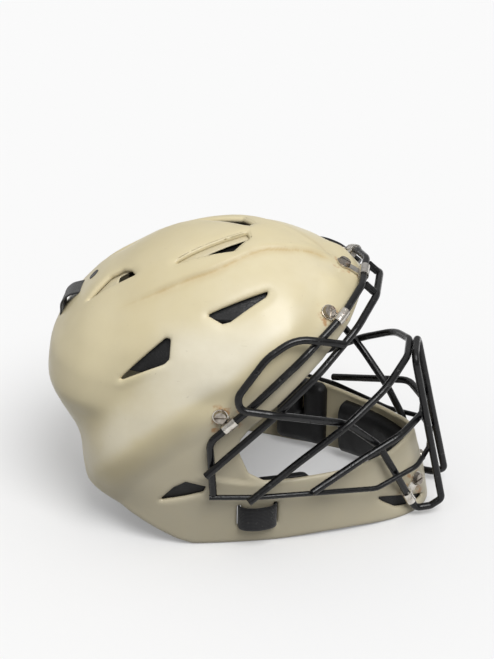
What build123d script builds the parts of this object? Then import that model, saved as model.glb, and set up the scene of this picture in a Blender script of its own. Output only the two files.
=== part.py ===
from build123d import *
import os
import numpy as np

# Catcher helmet in its resting pose, on the edge of its jaw guard. +X is the way it faces,
# +Y is its left side and +Z is up. Lengths are in millimetres.
# A share is a part of the shell's length (X), width (Y) or height (Z).

# Shell
shell_length = 304.0
shell_width = 212.0
shell_height = 236.0
shell_wall = 4.2
sole_arch = 2.5
overrun = 30.0
soft_gap = 0.3
pad_gap = 0.6
crown_pad_gap = 2.9
forehead_pad_gap = 1.2

# Cage wires
wire_diameter = 5.9
thin_wire_diameter = 4.2
weld_gap = 0.1
link_seat = 0.1
ridge_half_width = 18.0
ridge_corner = 9.0

# Clips that hold the cage
clip_length = 12.0
clip_web_width = 7.0
forehead_clip_length = 16.0
clip_skin = 1.1
clip_bore_gap = 0.05
clip_seat_gap = 0.2
tab_width = 12.0
tab_neck_width = 8.4
tab_thickness = 1.4
screw_head_diameter = 11.0
screw_head_height = 3.0
screw_head_slope = 18.0
screw_slot_width = 1.4
screw_slot_depth = 1.2
screw_diameter = 4.8
screw_hole_gap = 0.25
nut_diameter = 12.0
nut_thickness = 2.0
nut_gap = 0.7
nut_bore_gap = 0.05
nut_relief = 2.0

# Pads
pad_thickness = 12.0
crown_pad_length = 124.0
crown_pad_width = 76.0
forehead_pad_width = 76.0
forehead_pad_height = 24.0
temple_pad_length = 54.0
temple_pad_height = 30.0
ear_pad_length = 64.0
ear_pad_height = 60.0
side_pad_length = 80.0
side_pad_height = 32.0
upper_pad_length = 62.0
upper_pad_height = 28.0
cheek_pad_length = 60.0
cheek_pad_height = 34.0
jaw_pad_length = 42.0
jaw_pad_height = 55.0
pad_slot_height = 18.0
pad_slot_width = 3.0
chin_pad_thickness = 13.0
chin_pad_height = 46.0
chin_pad_lift = 5.0

# Rear plate and its straps
notch_gap = 3.0
plate_inset = 0.6
plate_wall = 3.6
plate_vent_height = 30.0
plate_vent_width = 6.0
plate_vent_pitch = 22.0
rear_pad_thickness = 11.0
rear_pad_margin = 6.0
rear_pad_lift = 25.0
strap_width = 24.0
strap_thickness = 1.8
strap_bulge = 7.5
side_strap_length = 44.0
side_strap_width = 16.0
anchor_diameter = 10.0
anchor_height = 1.6
anchor_slope = 12.0

# Jaw strap loops
slot_height = 22.0
slot_width = 3.2
slot_pitch = 28.0
loop_height = 20.0
loop_bulge = 6.5

# Level shares of the shell: height, front, rear, half width, widest place, and the powers
# that round the front lengthwise, the front crosswise and the rear.
level_shares = [
    (0.000, 0.490, -0.401, 0.448, -0.138, 1.30, 2.0, 2.6),
    (0.127, 0.474, -0.403, 0.472, -0.132, 1.40, 1.8, 2.6),
    (0.263, 0.449, -0.441, 0.493, -0.118, 1.60, 1.6, 2.6),
    (0.390, 0.4375, -0.485, 0.500, -0.105, 1.60, 1.8, 2.6),
    (0.500, 0.4276, -0.5115, 0.500, -0.092, 1.70, 2.0, 2.6),
    (0.593, 0.418, -0.505, 0.488, -0.0855, 1.80, 2.0, 2.5),
    (0.678, 0.395, -0.469, 0.465, -0.079, 1.90, 2.0, 2.4),
    (0.763, 0.355, -0.4145, 0.422, -0.069, 2.00, 2.0, 2.3),
    (0.8475, 0.291, -0.3454, 0.3514, -0.0526, 2.00, 2.0, 2.2),
    (0.911, 0.2105, -0.2747, 0.278, -0.033, 2.00, 2.0, 2.1),
    (0.9576, 0.140, -0.1924, 0.198, -0.0165, 2.00, 2.0, 2.1),
    (0.9873, 0.077, -0.092, 0.1014, 0.000, 2.00, 2.0, 2.0),
    (0.9979, 0.033, -0.020, 0.0377, 0.010, 2.00, 2.0, 2.0),
]
crown_share = 0.010
section_shares = [0.0, 0.03, 0.065, 0.127, 0.195, 0.263, 0.33, 0.39, 0.445, 0.5, 0.548, 0.593, 0.636,
                  0.678, 0.763, 0.8475, 0.911, 0.9576, 0.9873, 0.9979]
section_points = 32

# Side outline of the face opening: length and height shares, from the brow round to the chin
opening_shares = [
    (0.305, 0.833), (0.282, 0.778), (0.220, 0.690), (0.118, 0.559), (0.046, 0.475), (0.020, 0.428),
    (0.020, 0.375), (0.042, 0.293), (0.080, 0.258), (0.145, 0.250), (0.296, 0.243), (0.395, 0.254),
    (0.440, 0.272), (0.620, 0.300), (0.620, 0.833),
]
opening_corner_share = 0.022

# Side outline of what the lower edge leaves out behind
heel_shares = [(-0.106, 0.0), (-0.150, 0.020), (-0.205, 0.058), (-0.256, 0.093), (-0.302, 0.117),
               (-0.350, 0.135), (-0.395, 0.148), (-0.600, 0.175)]
arch_shares = [(0.10, 0.0), (0.24, 1.0), (0.31, 1.0), (0.43, 0.0)]

# Rear notch: half width and height shares from the lower edge up
notch_shares = [(0.152, -0.100), (0.145, 0.250), (0.132, 0.460), (0.098, 0.585)]
notch_front_share = -0.30
notch_corner_share = 0.055

# Vents on the right side, as points on the shell: length, width and height shares
vent_shares = {
    "side_front": [(-0.074, -0.360, 0.838), (0.077, -0.268, 0.897), (0.071, -0.290, 0.884),
                   (-0.012, -0.370, 0.822), (-0.032, -0.380, 0.818)],
    "side_rear": [(-0.300, -0.443, 0.610), (-0.174, -0.405, 0.768), (-0.161, -0.410, 0.765),
                  (-0.161, -0.443, 0.706), (-0.175, -0.453, 0.690)],
    "top_front": [(-0.183, -0.182, 0.928), (-0.001, -0.030, 0.998), (0.009, -0.060, 0.995),
                  (-0.026, -0.140, 0.979)],
    "top_rear": [(-0.402, -0.162, 0.758), (-0.350, -0.102, 0.837), (-0.316, -0.104, 0.867),
                 (-0.291, -0.132, 0.880), (-0.277, -0.166, 0.881), (-0.317, -0.166, 0.849)],
    "jaw": [(-0.194, -0.476, 0.180), (-0.150, -0.486, 0.245), (-0.118, -0.490, 0.270),
            (-0.066, -0.486, 0.252), (-0.075, -0.480, 0.225)],
    "chin": [(0.359, -0.223, 0.108), (0.428, -0.146, 0.079), (0.489, -0.030, 0.034),
             (0.455, -0.110, 0.030), (0.413, -0.172, 0.046), (0.383, -0.203, 0.078)],
}
vent_corner_share = 0.003

# Cage wire corners on the right side: length, width and height shares, then bend radius shares
# of the shell's length, one for each inner corner up to the middle of the face
rim_shares = [(-0.046, -0.507, 0.2415), (-0.0525, -0.5235, 0.447), (0.057, -0.4965, 0.580),
              (0.170, -0.4220, 0.7190), (0.261, -0.2900, 0.8220), (0.3015, -0.1120, 0.8620)]
rim_bend_shares = [0.042, 0.18, 0.18, 0.14, 0.07]
jaw_bar_shares = [(-0.0560, -0.5130, 0.2312), (0.062, -0.4880, 0.2290), (0.2080, -0.4150, 0.2195),
                  (0.3630, -0.3020, 0.1900), (0.4620, -0.1850, 0.2240), (0.4880, -0.0700, 0.2380)]
jaw_bar_bend_shares = [0.40, 0.25, 0.065, 0.05, 0.04]
brow_bar_shares = [(-0.060, -0.5510, 0.333), (0.106, -0.4900, 0.5350), (0.213, -0.4030, 0.6640),
                   (0.2990, -0.2600, 0.7700), (0.3385, -0.0950, 0.8185)]
brow_bar_bend_shares = [0.50, 0.20, 0.12, 0.06]
mid_bar_shares = [(0.0465, -0.5240, 0.2275), (0.1640, -0.4270, 0.3365), (0.2830, -0.3470, 0.4465),
                  (0.3780, -0.2230, 0.5390), (0.4230, -0.0660, 0.5860)]
mid_bar_bend_shares = [0.60, 0.25, 0.18, 0.06]
lower_bar_shares = [(0.2040, -0.4390, 0.2340), (0.3290, -0.3020, 0.3070), (0.4210, -0.2080, 0.3560),
                    (0.4670, -0.0570, 0.3640)]
lower_bar_bend_shares = [0.30, 0.09, 0.06]
ridge_shares = [(0.5250, -0.1100, 0.0850), (0.4840, -0.0960, 0.3350), (0.4425, -0.0850, 0.5930)]
ridge_bend_share = 0.60
eye_bar_shares = [(0.2725, -0.3370, 0.7465), (0.2150, -0.3930, 0.7795), (0.1550, -0.4190, 0.7960),
                  (0.0880, -0.4720, 0.7450), (0.0120, -0.5400, 0.6150), (0.0340, -0.5410, 0.5820),
                  (0.1180, -0.5225, 0.5630), (0.2810, -0.3055, 0.4360), (0.3620, -0.2290, 0.3180),
                  (0.4060, -0.2160, 0.2100), (0.4440, -0.1560, 0.0800), (0.4630, -0.1420, 0.0330),
                  (0.5000, -0.1250, 0.0360)]
eye_bar_bend_shares = [0.10, 0.10, 0.12, 0.035, 0.03, 0.07, 0.20, 0.10, 0.09, 0.07, 0.02, 0.02, 0.015]
eye_toe = 6.0

# Clips: how far along the wire, and where the screw sits as length and height shares
temple_clip_share = 0.753
cheek_clip_share = 0.274
chin_clip_share = 0.885
temple_screw_shares = (0.2250, 0.8180)
cheek_screw_shares = (-0.0282, 0.5330)
chin_screw_shares = (0.4568, 0.1175)
forehead_screw_share = 0.8850

# Pads: where the middle of each sits, as length and height shares
temple_pad_shares = (0.072, 0.718)
ear_pad_shares = (-0.180, 0.510)
side_pad_shares = (-0.205, 0.712)
upper_pad_shares = (-0.010, 0.872)
cheek_pad_shares = (-0.132, 0.218)
jaw_pad_shares = (0.124, 0.135)
pad_slot_shares = (0.128, 0.170)
forehead_pad_share = 0.875
crown_pad_share = -0.100
# Cushion form: place along the pad, its breadth there and its thickness there
cushion_shares = [(-1.0, 0.62, 0.30), (-0.82, 0.89, 0.85), (-0.45, 0.99, 1.0), (0.0, 1.0, 1.0),
                  (0.45, 0.99, 1.0), (0.82, 0.89, 0.85), (1.0, 0.62, 0.30)]
# The same across the pad: place and thickness
across_shares = [(-1.0, 0.40), (-0.88, 0.82), (-0.5, 1.0), (0.0, 1.06), (0.5, 1.0), (0.88, 0.82),
                 (1.0, 0.40)]
chin_pad_level_shares = [(0.0, 0.60), (0.10, 0.92), (0.35, 1.0), (0.65, 1.0), (0.90, 0.92), (1.0, 0.60)]
chin_pad_end_share = 0.245
rear_pad_level_shares = [(0.0, 0.70, 0.35), (0.08, 0.92, 0.85), (0.30, 1.0, 1.0), (0.60, 1.0, 1.0),
                         (0.90, 0.92, 0.85), (1.0, 0.72, 0.35)]

# Rear plate: height share of its foot, and its outline as places up it and half width shares
plate_foot_share = 0.175
plate_level_shares = [(0.0, 0.80), (0.03, 0.90), (0.09, 0.97), (0.20, 1.0), (0.45, 1.0), (0.70, 1.0),
                      (0.86, 0.98), (0.94, 0.92), (0.98, 0.84), (1.0, 0.76)]

# Straps: height and place of the side straps inside, height shares of the top strap's ends, and
# its side outline as places along it and how far it stands off
side_strap_share = 0.222
side_strap_middle_share = 0.123
top_strap_end_shares = (0.475, 0.820)
top_strap_shares = [(0.0, 0.0), (0.09, 0.0), (0.18, 0.0), (0.27, 0.0), (0.35, 0.0), (0.42, 0.01),
                    (0.48, 0.08), (0.535, 0.45), (0.585, 0.85), (0.635, 1.0), (0.69, 0.88), (0.735, 0.52),
                    (0.775, 0.16), (0.81, 0.02), (0.85, 0.0), (0.90, 0.0), (0.95, 0.0), (1.0, 0.0)]
anchor_share = 0.10
jaw_loop_shares = (0.0600, 0.118)
# Loop form: place between the slots, how far it bows out and how far its face leans sideways
loop_shares = [(-1.0, -0.50, -1.0), (-0.97, 0.30, -0.85), (-0.62, 0.80, -0.25), (0.0, 1.0, 0.0),
               (0.62, 0.80, 0.25), (0.97, 0.30, 0.85), (1.0, -0.50, 1.0)]

wire_radius = wire_diameter / 2
anchor_reach = 2 * soft_gap + strap_thickness + anchor_height
rear_inner = max(shell_wall, plate_inset + plate_wall)
probe = shell_wall / 8


def place(shares):
    """A point from its length, width and height shares."""
    return Vector(shares[0] * shell_length, shares[1] * shell_width, shares[2] * shell_height)


def mirrored(shape):
    return shape.mirror(Plane.XZ)


def smooth_levels(height_share):
    """The level at a height, on smooth curves through the level shares that never overshoot."""
    table = np.array(level_shares)
    heights = table[:, 0]
    steps = np.diff(heights)
    slopes = np.diff(table[:, 1:], axis=0) / steps[:, None]
    ends = np.zeros_like(table[:, 1:])
    ends[0] = slopes[0]
    ends[-1] = slopes[-1]
    for i in range(1, len(heights) - 1):
        first, second = slopes[i - 1], slopes[i]
        before, after = steps[i - 1], steps[i]
        same = first * second > 0
        weight_a = 2 * after + before
        weight_b = after + 2 * before
        safe_a = np.where(same, first, 1.0)
        safe_b = np.where(same, second, 1.0)
        mean = (weight_a + weight_b) / (weight_a / safe_a + weight_b / safe_b)
        ends[i] = np.where(same, mean, 0.0)
    i = int(np.clip(np.searchsorted(heights, height_share) - 1, 0, len(steps) - 1))
    t = (height_share - heights[i]) / steps[i]
    h = steps[i]
    low, high = table[i, 1:], table[i + 1, 1:]
    return ((1 + 2 * t) * (1 - t) ** 2 * low + t * (1 - t) ** 2 * h * ends[i]
            + t * t * (3 - 2 * t) * high + t * t * (t - 1) * h * ends[i + 1])


def level_sizes(height_share, inset):
    """Front, rear, half width, widest place and powers at a level, drawn in by an inset."""
    front, rear, half, widest, front_power, cross_power, rear_power = smooth_levels(height_share)
    return (front * shell_length - inset, rear * shell_length + inset, half * shell_width - inset,
            widest * shell_length, front_power, cross_power, rear_power)


def level_points(height_share, inset):
    """Points round one level, counter-clockwise from the front."""
    front, rear, half, widest, front_power, cross_power, rear_power = level_sizes(height_share, inset)
    points = []
    for i in range(section_points):
        turn = 2 * np.pi * i / section_points
        c, s = np.cos(turn), np.sin(turn)
        if c >= 0:
            x = widest + (front - widest) * abs(c) ** (2 / front_power)
            y = half * abs(s) ** (2 / cross_power)
        else:
            x = widest - (widest - rear) * abs(c) ** (2 / rear_power)
            y = half * abs(s) ** (2 / rear_power)
        points.append((x, y * np.sign(s)))
    return points


def envelope(inset, from_below):
    """The shell's outer form drawn in by an inset; from_below starts it under the floor."""
    top = shell_height - inset
    wires = []
    if from_below:
        wires.append(section_wire(0.0, inset, -overrun))
    for share in section_shares:
        if share * shell_height < top and level_sizes(share, inset)[2] > shell_wall / 2:
            wires.append(section_wire(share, inset, share * top))
    crown = Vertex(crown_share * shell_length, 0, top)
    return Solid.make_loft(wires + [crown])


def section_wire(height_share, inset, z):
    points = [Vector(x, y, z) for x, y in level_points(height_share, inset)]
    return Wire([Edge.make_spline(points, periodic=True)])


def skin_y(x, z, inset=0.0):
    """Half width of the skin at a length and a height."""
    share = min(z / (shell_height - inset), level_shares[-1][0])
    front, rear, half, widest, front_power, cross_power, rear_power = level_sizes(share, inset)
    if x >= widest:
        u = min((x - widest) / (front - widest), 1.0)
        return half * (1 - u ** front_power) ** (1 / cross_power)
    u = min((x - widest) / (rear - widest), 1.0)
    return half * (1 - u ** rear_power) ** (1 / rear_power)


def skin_frame(x, z, side, inset=0.0):
    """Point on the skin and its outward direction, on side -1 (right) or +1 (left)."""
    y = skin_y(x, z, inset)
    slope_x = (skin_y(x + probe, z, inset) - skin_y(x - probe, z, inset)) / (2 * probe)
    slope_z = (skin_y(x, z + probe, inset) - skin_y(x, z - probe, inset)) / (2 * probe)
    outward = Vector(-slope_x, side, -slope_z).normalized()
    return Vector(x, side * y, z), outward


def inside(point, inset):
    """Whether a point lies inside the form drawn in by an inset."""
    sizes = level_sizes(point.Z / (shell_height - inset), inset)
    front, rear, half, widest, front_power, cross_power, rear_power = sizes
    v = abs(point.Y) / half
    if point.X >= widest:
        return ((point.X - widest) / (front - widest)) ** front_power + v ** cross_power < 1
    return ((point.X - widest) / (rear - widest)) ** rear_power + v ** rear_power < 1


def wall_depth(point, outward):
    """How far the inner skin lies behind a point on the outer skin."""
    near, far = 0, 3 * shell_wall
    for _ in range(20):
        middle = (near + far) / 2
        if inside(point - outward * middle, shell_wall):
            far = middle
        else:
            near = middle
    return far


def middle_x(z, inset=0.0):
    """Length of the skin in front at mid width, at a height."""
    return level_sizes(z / (shell_height - inset), inset)[0]


def middle_frame(z, inset=0.0):
    """Point on the skin in front at mid width, and its outward direction."""
    slope = (middle_x(z + probe, inset) - middle_x(z - probe, inset)) / (2 * probe)
    return Vector(middle_x(z, inset), 0, z), Vector(1, 0, -slope).normalized()


def side_prism(points, corner):
    """A prism across the whole width, from a side outline in length and height."""
    outline = FilletPolyline(*[(x, z) for x, z in points], radius=corner, close=True)
    face = Plane.XZ * make_face(outline.edges())
    return extrude(face, amount=shell_width, both=True)


def lower_cut():
    """What lies under the shell's edge: the raised heel and the low arch of the sole."""
    heel = [(x * shell_length, z * shell_height) for x, z in heel_shares]
    heel += [(heel[-1][0], -overrun), (heel[0][0] + overrun, -overrun), (heel[0][0] + overrun, 0)]
    outline = Polyline(*heel, close=True)
    cut = extrude(Plane.XZ * make_face(outline.edges()), amount=shell_width, both=True)
    arch = [(x * shell_length, z * sole_arch) for x, z in arch_shares]
    arch += [(arch[-1][0], -overrun), (arch[0][0], -overrun)]
    outline = Polyline(*arch, close=True)
    return cut + extrude(Plane.XZ * make_face(outline.edges()), amount=shell_width, both=True)


def notch_prism():
    """The rear notch as a prism that runs in from behind."""
    half = [(y * shell_width, z * shell_height) for y, z in notch_shares]
    points = half + [(-y, z) for y, z in reversed(half)]
    outline = FilletPolyline(*points, radius=notch_corner_share * shell_width, close=True)
    front = Plane(origin=(notch_front_share * shell_length, 0, 0), x_dir=(0, 1, 0), z_dir=(1, 0, 0))
    return extrude(front * make_face(outline.edges()), amount=-shell_length)


def vent_prism(shares, corner):
    """A cut through the wall, square to it, with the outline of one vent."""
    points = [place(share) for share in shares]
    centre = sum(points, Vector(0, 0, 0)) / len(points)
    normal = Vector(0, 0, 0)
    for i in range(len(points)):
        normal += (points[i] - centre).cross(points[(i + 1) % len(points)] - centre)
    if normal.Y > 0:
        normal = normal * -1
    plane = Plane(origin=centre, z_dir=normal.normalized())
    local = [plane.to_local_coords(point) for point in points]
    outline = FilletPolyline(*[(point.X, point.Y) for point in local], radius=corner, close=True)
    return extrude(plane * make_face(outline.edges()), amount=overrun / 2, both=True)


def side_seat(shares):
    """A screw's seat on the right side, and its outward direction."""
    return skin_frame(shares[0] * shell_length, shares[1] * shell_height, -1)


def nut_hollow(seat, outward):
    """The hollow that a nut and its screw's end press into a pad."""
    plane = Plane(origin=seat, z_dir=outward)
    depth = wall_depth(seat, outward) + nut_gap + nut_thickness + nut_relief
    return extrude(plane * Circle(nut_diameter / 2 + nut_relief), amount=-depth)


def upright_slot(point, outward, height, width):
    plane = Plane(origin=point, x_dir=(0, 0, 1), z_dir=outward)
    return extrude(plane * SlotOverall(height, width), amount=overrun / 2, both=True)


def pad_slot(side):
    """The slot through a jaw pad that a strap can pass."""
    x, z = pad_slot_shares[0] * shell_length, pad_slot_shares[1] * shell_height
    return upright_slot(*skin_frame(x, z, side, shell_wall), pad_slot_height, pad_slot_width)


def jaw_slots():
    """The two upright slots in the jaw that each webbing loop passes through."""
    x, z = jaw_loop_shares[0] * shell_length, jaw_loop_shares[1] * shell_height
    slots = []
    for side in (-1, 1):
        for end in (-1, 1):
            frame = skin_frame(x + end * slot_pitch / 2, z, side)
            slots.append(upright_slot(*frame, slot_height, slot_width))
    return slots


def bar_path(shares, bends, bridge=True):
    """A wire's centre line from its corners on the right; bridge carries it to the left."""
    points = [place(share) for share in shares]
    radii = [bend * shell_length for bend in bends]
    if bridge:
        points += [Vector(p.X, -p.Y, p.Z) for p in reversed(points)]
        radii = radii + list(reversed(radii))
    return FilletPolyline(*points, radius=radii)


def bar(path, diameter):
    start = Plane(origin=path @ 0, z_dir=path % 0)
    return sweep(start * Circle(diameter / 2), path=path)


def eye_path():
    """The right eye bar's centre line, with a toe that turns up to the foot of the ridge."""
    foot = place(ridge_shares[0])
    down = (foot - place(ridge_shares[1])).normalized()
    points = [place(share) for share in eye_bar_shares]
    points += [foot + down * eye_toe, foot + down * weld_gap]
    return FilletPolyline(*points, radius=[bend * shell_length for bend in eye_bar_bend_shares])


def forehead_links():
    """Two short wires that tie the brow bar to the rim."""
    links = []
    rim = place(rim_shares[-1])
    brow = place(brow_bar_shares[-1])
    for side in (-1, 1):
        first = Vector(rim.X, side * ridge_half_width, rim.Z)
        last = Vector(brow.X, side * ridge_half_width, brow.Z)
        along = (last - first).normalized()
        length = (last - first).length - wire_diameter + 2 * link_seat
        plane = Plane(origin=first + along * (wire_radius - link_seat), z_dir=along)
        links.append(extrude(plane * Circle(wire_radius), amount=length))
    return links


def sleeve(path, share, length, radius):
    """A round bar that follows a stretch of a wire's centre line."""
    reach = length / 2 / path.length
    stretch = path.trim(share - reach, share + reach)
    start = Plane(origin=stretch @ 0, z_dir=stretch % 0)
    return sweep(start * Circle(radius), path=stretch)


def clip(path, share, screw_point, outward, length):
    """A band of a given length round a wire, with a tab that runs to its screw."""
    wire_point, wire_along = path @ share, path % share
    bore = wire_radius + clip_bore_gap
    band = sleeve(path, share, length, bore + clip_skin)
    seat = screw_point + outward * clip_seat_gap
    reach = wire_point - seat
    rise = reach.dot(outward)
    level_reach = reach - outward * rise
    run = level_reach.length
    tab_plane = Plane(origin=seat, x_dir=level_reach.normalized(), z_dir=outward)
    arm = Pos(run / 2, 0) * Rectangle(run, tab_neck_width)
    tab = extrude(tab_plane * (Circle(tab_width / 2) + arm), amount=tab_thickness)
    web_plane = Plane(origin=seat + level_reach, x_dir=wire_along, z_dir=outward)
    web = extrude(web_plane * Rectangle(clip_web_width, wire_diameter), amount=rise)
    bore_cut = sleeve(path, share, 2 * length, bore)
    hole = extrude(tab_plane * Circle(screw_diameter / 2 + screw_hole_gap), amount=overrun / 2, both=True)
    return band + tab + web - bore_cut - hole


def screw(seat, outward):
    """A round-headed screw through the tab and the wall."""
    head_seat = seat + outward * (clip_seat_gap + tab_thickness)
    plane = Plane(origin=head_seat, z_dir=outward)
    outline = plane * Circle(screw_head_diameter / 2)
    head = extrude(outline, amount=screw_head_height, taper=screw_head_slope)
    shank_length = clip_seat_gap + tab_thickness + wall_depth(seat, outward) + nut_gap + nut_thickness
    shank = extrude(plane * Circle(screw_diameter / 2), amount=-shank_length)
    top = plane.offset(screw_head_height)
    slot = extrude(top * Rectangle(screw_head_diameter, screw_slot_width), amount=-screw_slot_depth)
    return head + shank - slot


def nut(seat, outward):
    """A flat nut against the inside of the wall."""
    plane = Plane(origin=seat - outward * (wall_depth(seat, outward) + nut_gap), z_dir=outward)
    body = extrude(plane * Circle(nut_diameter / 2), amount=-nut_thickness)
    bore = extrude(plane * Circle(screw_diameter / 2 + nut_bore_gap), amount=overrun / 2, both=True)
    return body - bore


def rear_x(y, z, inset=0.0):
    """Length of the skin behind, at a width and a height."""
    sizes = level_sizes(z / (shell_height - inset), inset)
    front, rear, half, widest, front_power, cross_power, rear_power = sizes
    v = min(abs(y) / half, 1.0)
    return widest - (widest - rear) * (1 - v ** rear_power) ** (1 / rear_power)


def front_x(y, z, inset=0.0):
    """Length of the skin in front, at a width and a height."""
    sizes = level_sizes(z / (shell_height - inset), inset)
    front, rear, half, widest, front_power, cross_power, rear_power = sizes
    v = min(abs(y) / half, 1.0)
    return widest + (front - widest) * (1 - v ** cross_power) ** (1 / front_power)


def top_z(x, y, inset=0.0):
    """Height of the skin on top, at a length and a width."""
    low, high = shell_height / 2, (shell_height - inset) * level_shares[-1][0]
    for _ in range(40):
        z = (low + high) / 2
        front, rear = level_sizes(z / (shell_height - inset), inset)[:2]
        if rear < x < front and skin_y(x, z, inset) > abs(y):
            low = z
        else:
            high = z
    return low


def strip_wire(outer, inner):
    """A closed outline from an outer row of points and an inner row that runs beside it."""
    outer = [Vector(*point) for point in outer]
    inner = [Vector(*point) for point in inner]
    edges = [Edge.make_spline(outer), Edge.make_line(outer[-1], inner[-1]),
             Edge.make_spline(list(reversed(inner))), Edge.make_line(inner[0], outer[0])]
    return Wire(edges)


def cushion(row_at, length, breadth, thickness):
    """A crowned cushion with drawn-in sides. row_at gives, for a place along the pad, a function
    from a place across it to a point on the wall and the inward direction there."""
    wires = []
    for along, breadth_share, thickness_share in cushion_shares:
        point_at = row_at(along * length / 2)
        outer, inner = [], []
        for across, rise in across_shares:
            point, inward = point_at(across * breadth_share * breadth / 2)
            outer.append(point)
            inner.append(point + inward * (thickness * thickness_share * rise))
        wires.append(strip_wire(outer, inner))
    return Solid.make_loft(wires)


def side_row(shares, side):
    """Rows for a pad on the side wall: along its length, across its height."""
    inset = shell_wall + pad_gap

    def row_at(along):
        x = shares[0] * shell_length + along

        def point_at(across):
            z = shares[1] * shell_height + across
            slope = (skin_y(x, z + probe, inset) - skin_y(x, z - probe, inset)) / (2 * probe)
            return Vector(x, side * skin_y(x, z, inset), z), Vector(0, -side, slope).normalized()
        return point_at
    return row_at


def forehead_row(along):
    """Rows for the pad behind the brow: along its width, across its height."""
    inset = shell_wall + forehead_pad_gap

    def point_at(across):
        z = forehead_pad_share * shell_height + across
        slope = (front_x(along, z + probe, inset) - front_x(along, z - probe, inset)) / (2 * probe)
        return Vector(front_x(along, z, inset), along, z), Vector(-1, 0, slope).normalized()
    return point_at


def crown_row(along):
    """Rows for the pad under the crown: along its length, across its width."""
    inset = shell_wall + crown_pad_gap
    x = crown_pad_share * shell_length + along

    def point_at(across):
        slope = (top_z(x, across + probe, inset) - top_z(x, across - probe, inset)) / (2 * probe)
        return Vector(x, across, top_z(x, across, inset)), Vector(0, slope, -1).normalized()
    return point_at


def chin_pad():
    """The pad that lines the chin, as a U of level sections."""
    wires = []
    for level, rise in chin_pad_level_shares:
        z = chin_pad_lift + level * chin_pad_height
        rows = []
        for inset in (shell_wall + pad_gap, shell_wall + pad_gap + chin_pad_thickness * rise):
            limit = skin_y(chin_pad_end_share * shell_length, z, inset)
            widths = [limit * np.sin(turn) for turn in np.linspace(-np.pi / 2, np.pi / 2, 13)]
            rows.append([(front_x(y, z, inset), y, z) for y in widths])
        wires.append(strip_wire(*rows))
    return Solid.make_loft(wires)


def notch_half(z):
    """Half width of the rear notch at a height."""
    heights = [share[1] * shell_height for share in notch_shares]
    halves = [share[0] * shell_width for share in notch_shares]
    return float(np.interp(z, heights, halves))


def rear_band(levels, inset, thickness_at):
    """A curved sheet behind the head: levels hold a height, a half width and a thickness share."""
    wires = []
    for z, half, share in levels:
        widths = np.linspace(-half, half, 11)
        outer = [(rear_x(y, z, inset), y, z) for y in widths]
        inner = [(rear_x(y, z, inset + thickness_at * share), y, z) for y in widths]
        wires.append(strip_wire(outer, inner))
    return Solid.make_loft(wires)


def rear_frame(y, z, inset=0.0):
    """Point on the skin behind, and its outward direction."""
    slope_y = (rear_x(y + probe, z, inset) - rear_x(y - probe, z, inset)) / (2 * probe)
    slope_z = (rear_x(y, z + probe, inset) - rear_x(y, z - probe, inset)) / (2 * probe)
    return Vector(rear_x(y, z, inset), y, z), Vector(-1, slope_y, slope_z).normalized()


def rear_levels(level_table, margin, lift=0.0):
    """Heights, half widths and thickness shares inside the notch, drawn in by a margin."""
    foot = plate_foot_share * shell_height + margin + lift
    top = notch_shares[-1][1] * shell_height - notch_gap - margin
    levels = []
    for level, breadth, rise in level_table:
        z = foot + level * (top - foot)
        levels.append((z, (notch_half(z) - notch_gap - margin) * breadth, rise))
    return levels


def rear_plate():
    """The rear plate, with two upright vents."""
    levels = rear_levels([(level, breadth, 1) for level, breadth in plate_level_shares], 0)
    middle = (levels[0][0] + levels[-1][0]) / 2
    vents = []
    for side in (-1, 1):
        origin = (-shell_length / 2, side * plate_vent_pitch / 2, middle)
        plane = Plane(origin=origin, x_dir=(0, 0, 1), z_dir=(-1, 0, 0))
        outline = plane * SlotOverall(plate_vent_height, plate_vent_width)
        vents.append(extrude(outline, amount=overrun, both=True))
    return rear_band(levels, plate_inset, plate_wall) - vents


def rear_pad():
    """The pad on the rear plate, inside its edge by a margin and above the side straps."""
    levels = rear_levels(rear_pad_level_shares, rear_pad_margin, rear_pad_lift)
    return rear_band(levels, plate_inset + plate_wall + pad_gap, rear_pad_thickness)


def side_strap(side):
    """An elastic strap inside, over the gap between the shell and the rear plate."""
    middle = side_strap_middle_share * shell_width
    widths = np.linspace(middle - side_strap_length / 2, middle + side_strap_length / 2, 7)
    wires = []
    for rise in (-0.5, 0.0, 0.5):
        level = side_strap_share * shell_height + rise * side_strap_width
        rows = []
        for inset in (rear_inner + soft_gap, rear_inner + soft_gap + strap_thickness):
            rows.append([(rear_x(y, level, inset), side * y, level) for y in widths])
        wires.append(strip_wire(*rows))
    return Solid.make_loft(wires)


def top_strap():
    """The upper elastic strap, which stands off the shell in a bow."""
    low, high = [share * shell_height for share in top_strap_end_shares]
    outer, inner = [], []
    for along, bow in top_strap_shares:
        point, outward = rear_frame(0, low + along * (high - low))
        lift = soft_gap + bow * strap_bulge
        inner.append(point + outward * lift)
        outer.append(point + outward * (lift + strap_thickness))
    wires = []
    for side in (-1, 1):
        shift = Vector(0, side * strap_width / 2, 0)
        wires.append(strip_wire([point + shift for point in outer], [point + shift for point in inner]))
    return Solid.make_loft(wires)


def jaw_loop(side):
    """A webbing loop that bows out between two slots in the jaw."""
    x = jaw_loop_shares[0] * shell_length
    z = jaw_loop_shares[1] * shell_height
    wires = []
    for rise in (-0.5, 0.0, 0.5):
        outer, inner = [], []
        for along, bow, lean in loop_shares:
            point, outward = skin_frame(x + along * (slot_pitch / 2), z + rise * loop_height, side)
            level = Vector(outward.X, outward.Y, 0).normalized()
            across = Vector(-level.Y, level.X, 0) * -side
            half = (across * lean + level * (1 - abs(lean))).normalized() * (strap_thickness / 2)
            centre = point + level * (bow * loop_bulge)
            outer.append(centre + half)
            inner.append(centre - half)
        wires.append(strip_wire(outer, inner))
    return Solid.make_loft(wires)


def anchor_frame(along):
    """Point on the skin under the top strap, at a place along it, and its outward direction."""
    low, high = [share * shell_height for share in top_strap_end_shares]
    return rear_frame(0, low + (high - low) * along)


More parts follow.
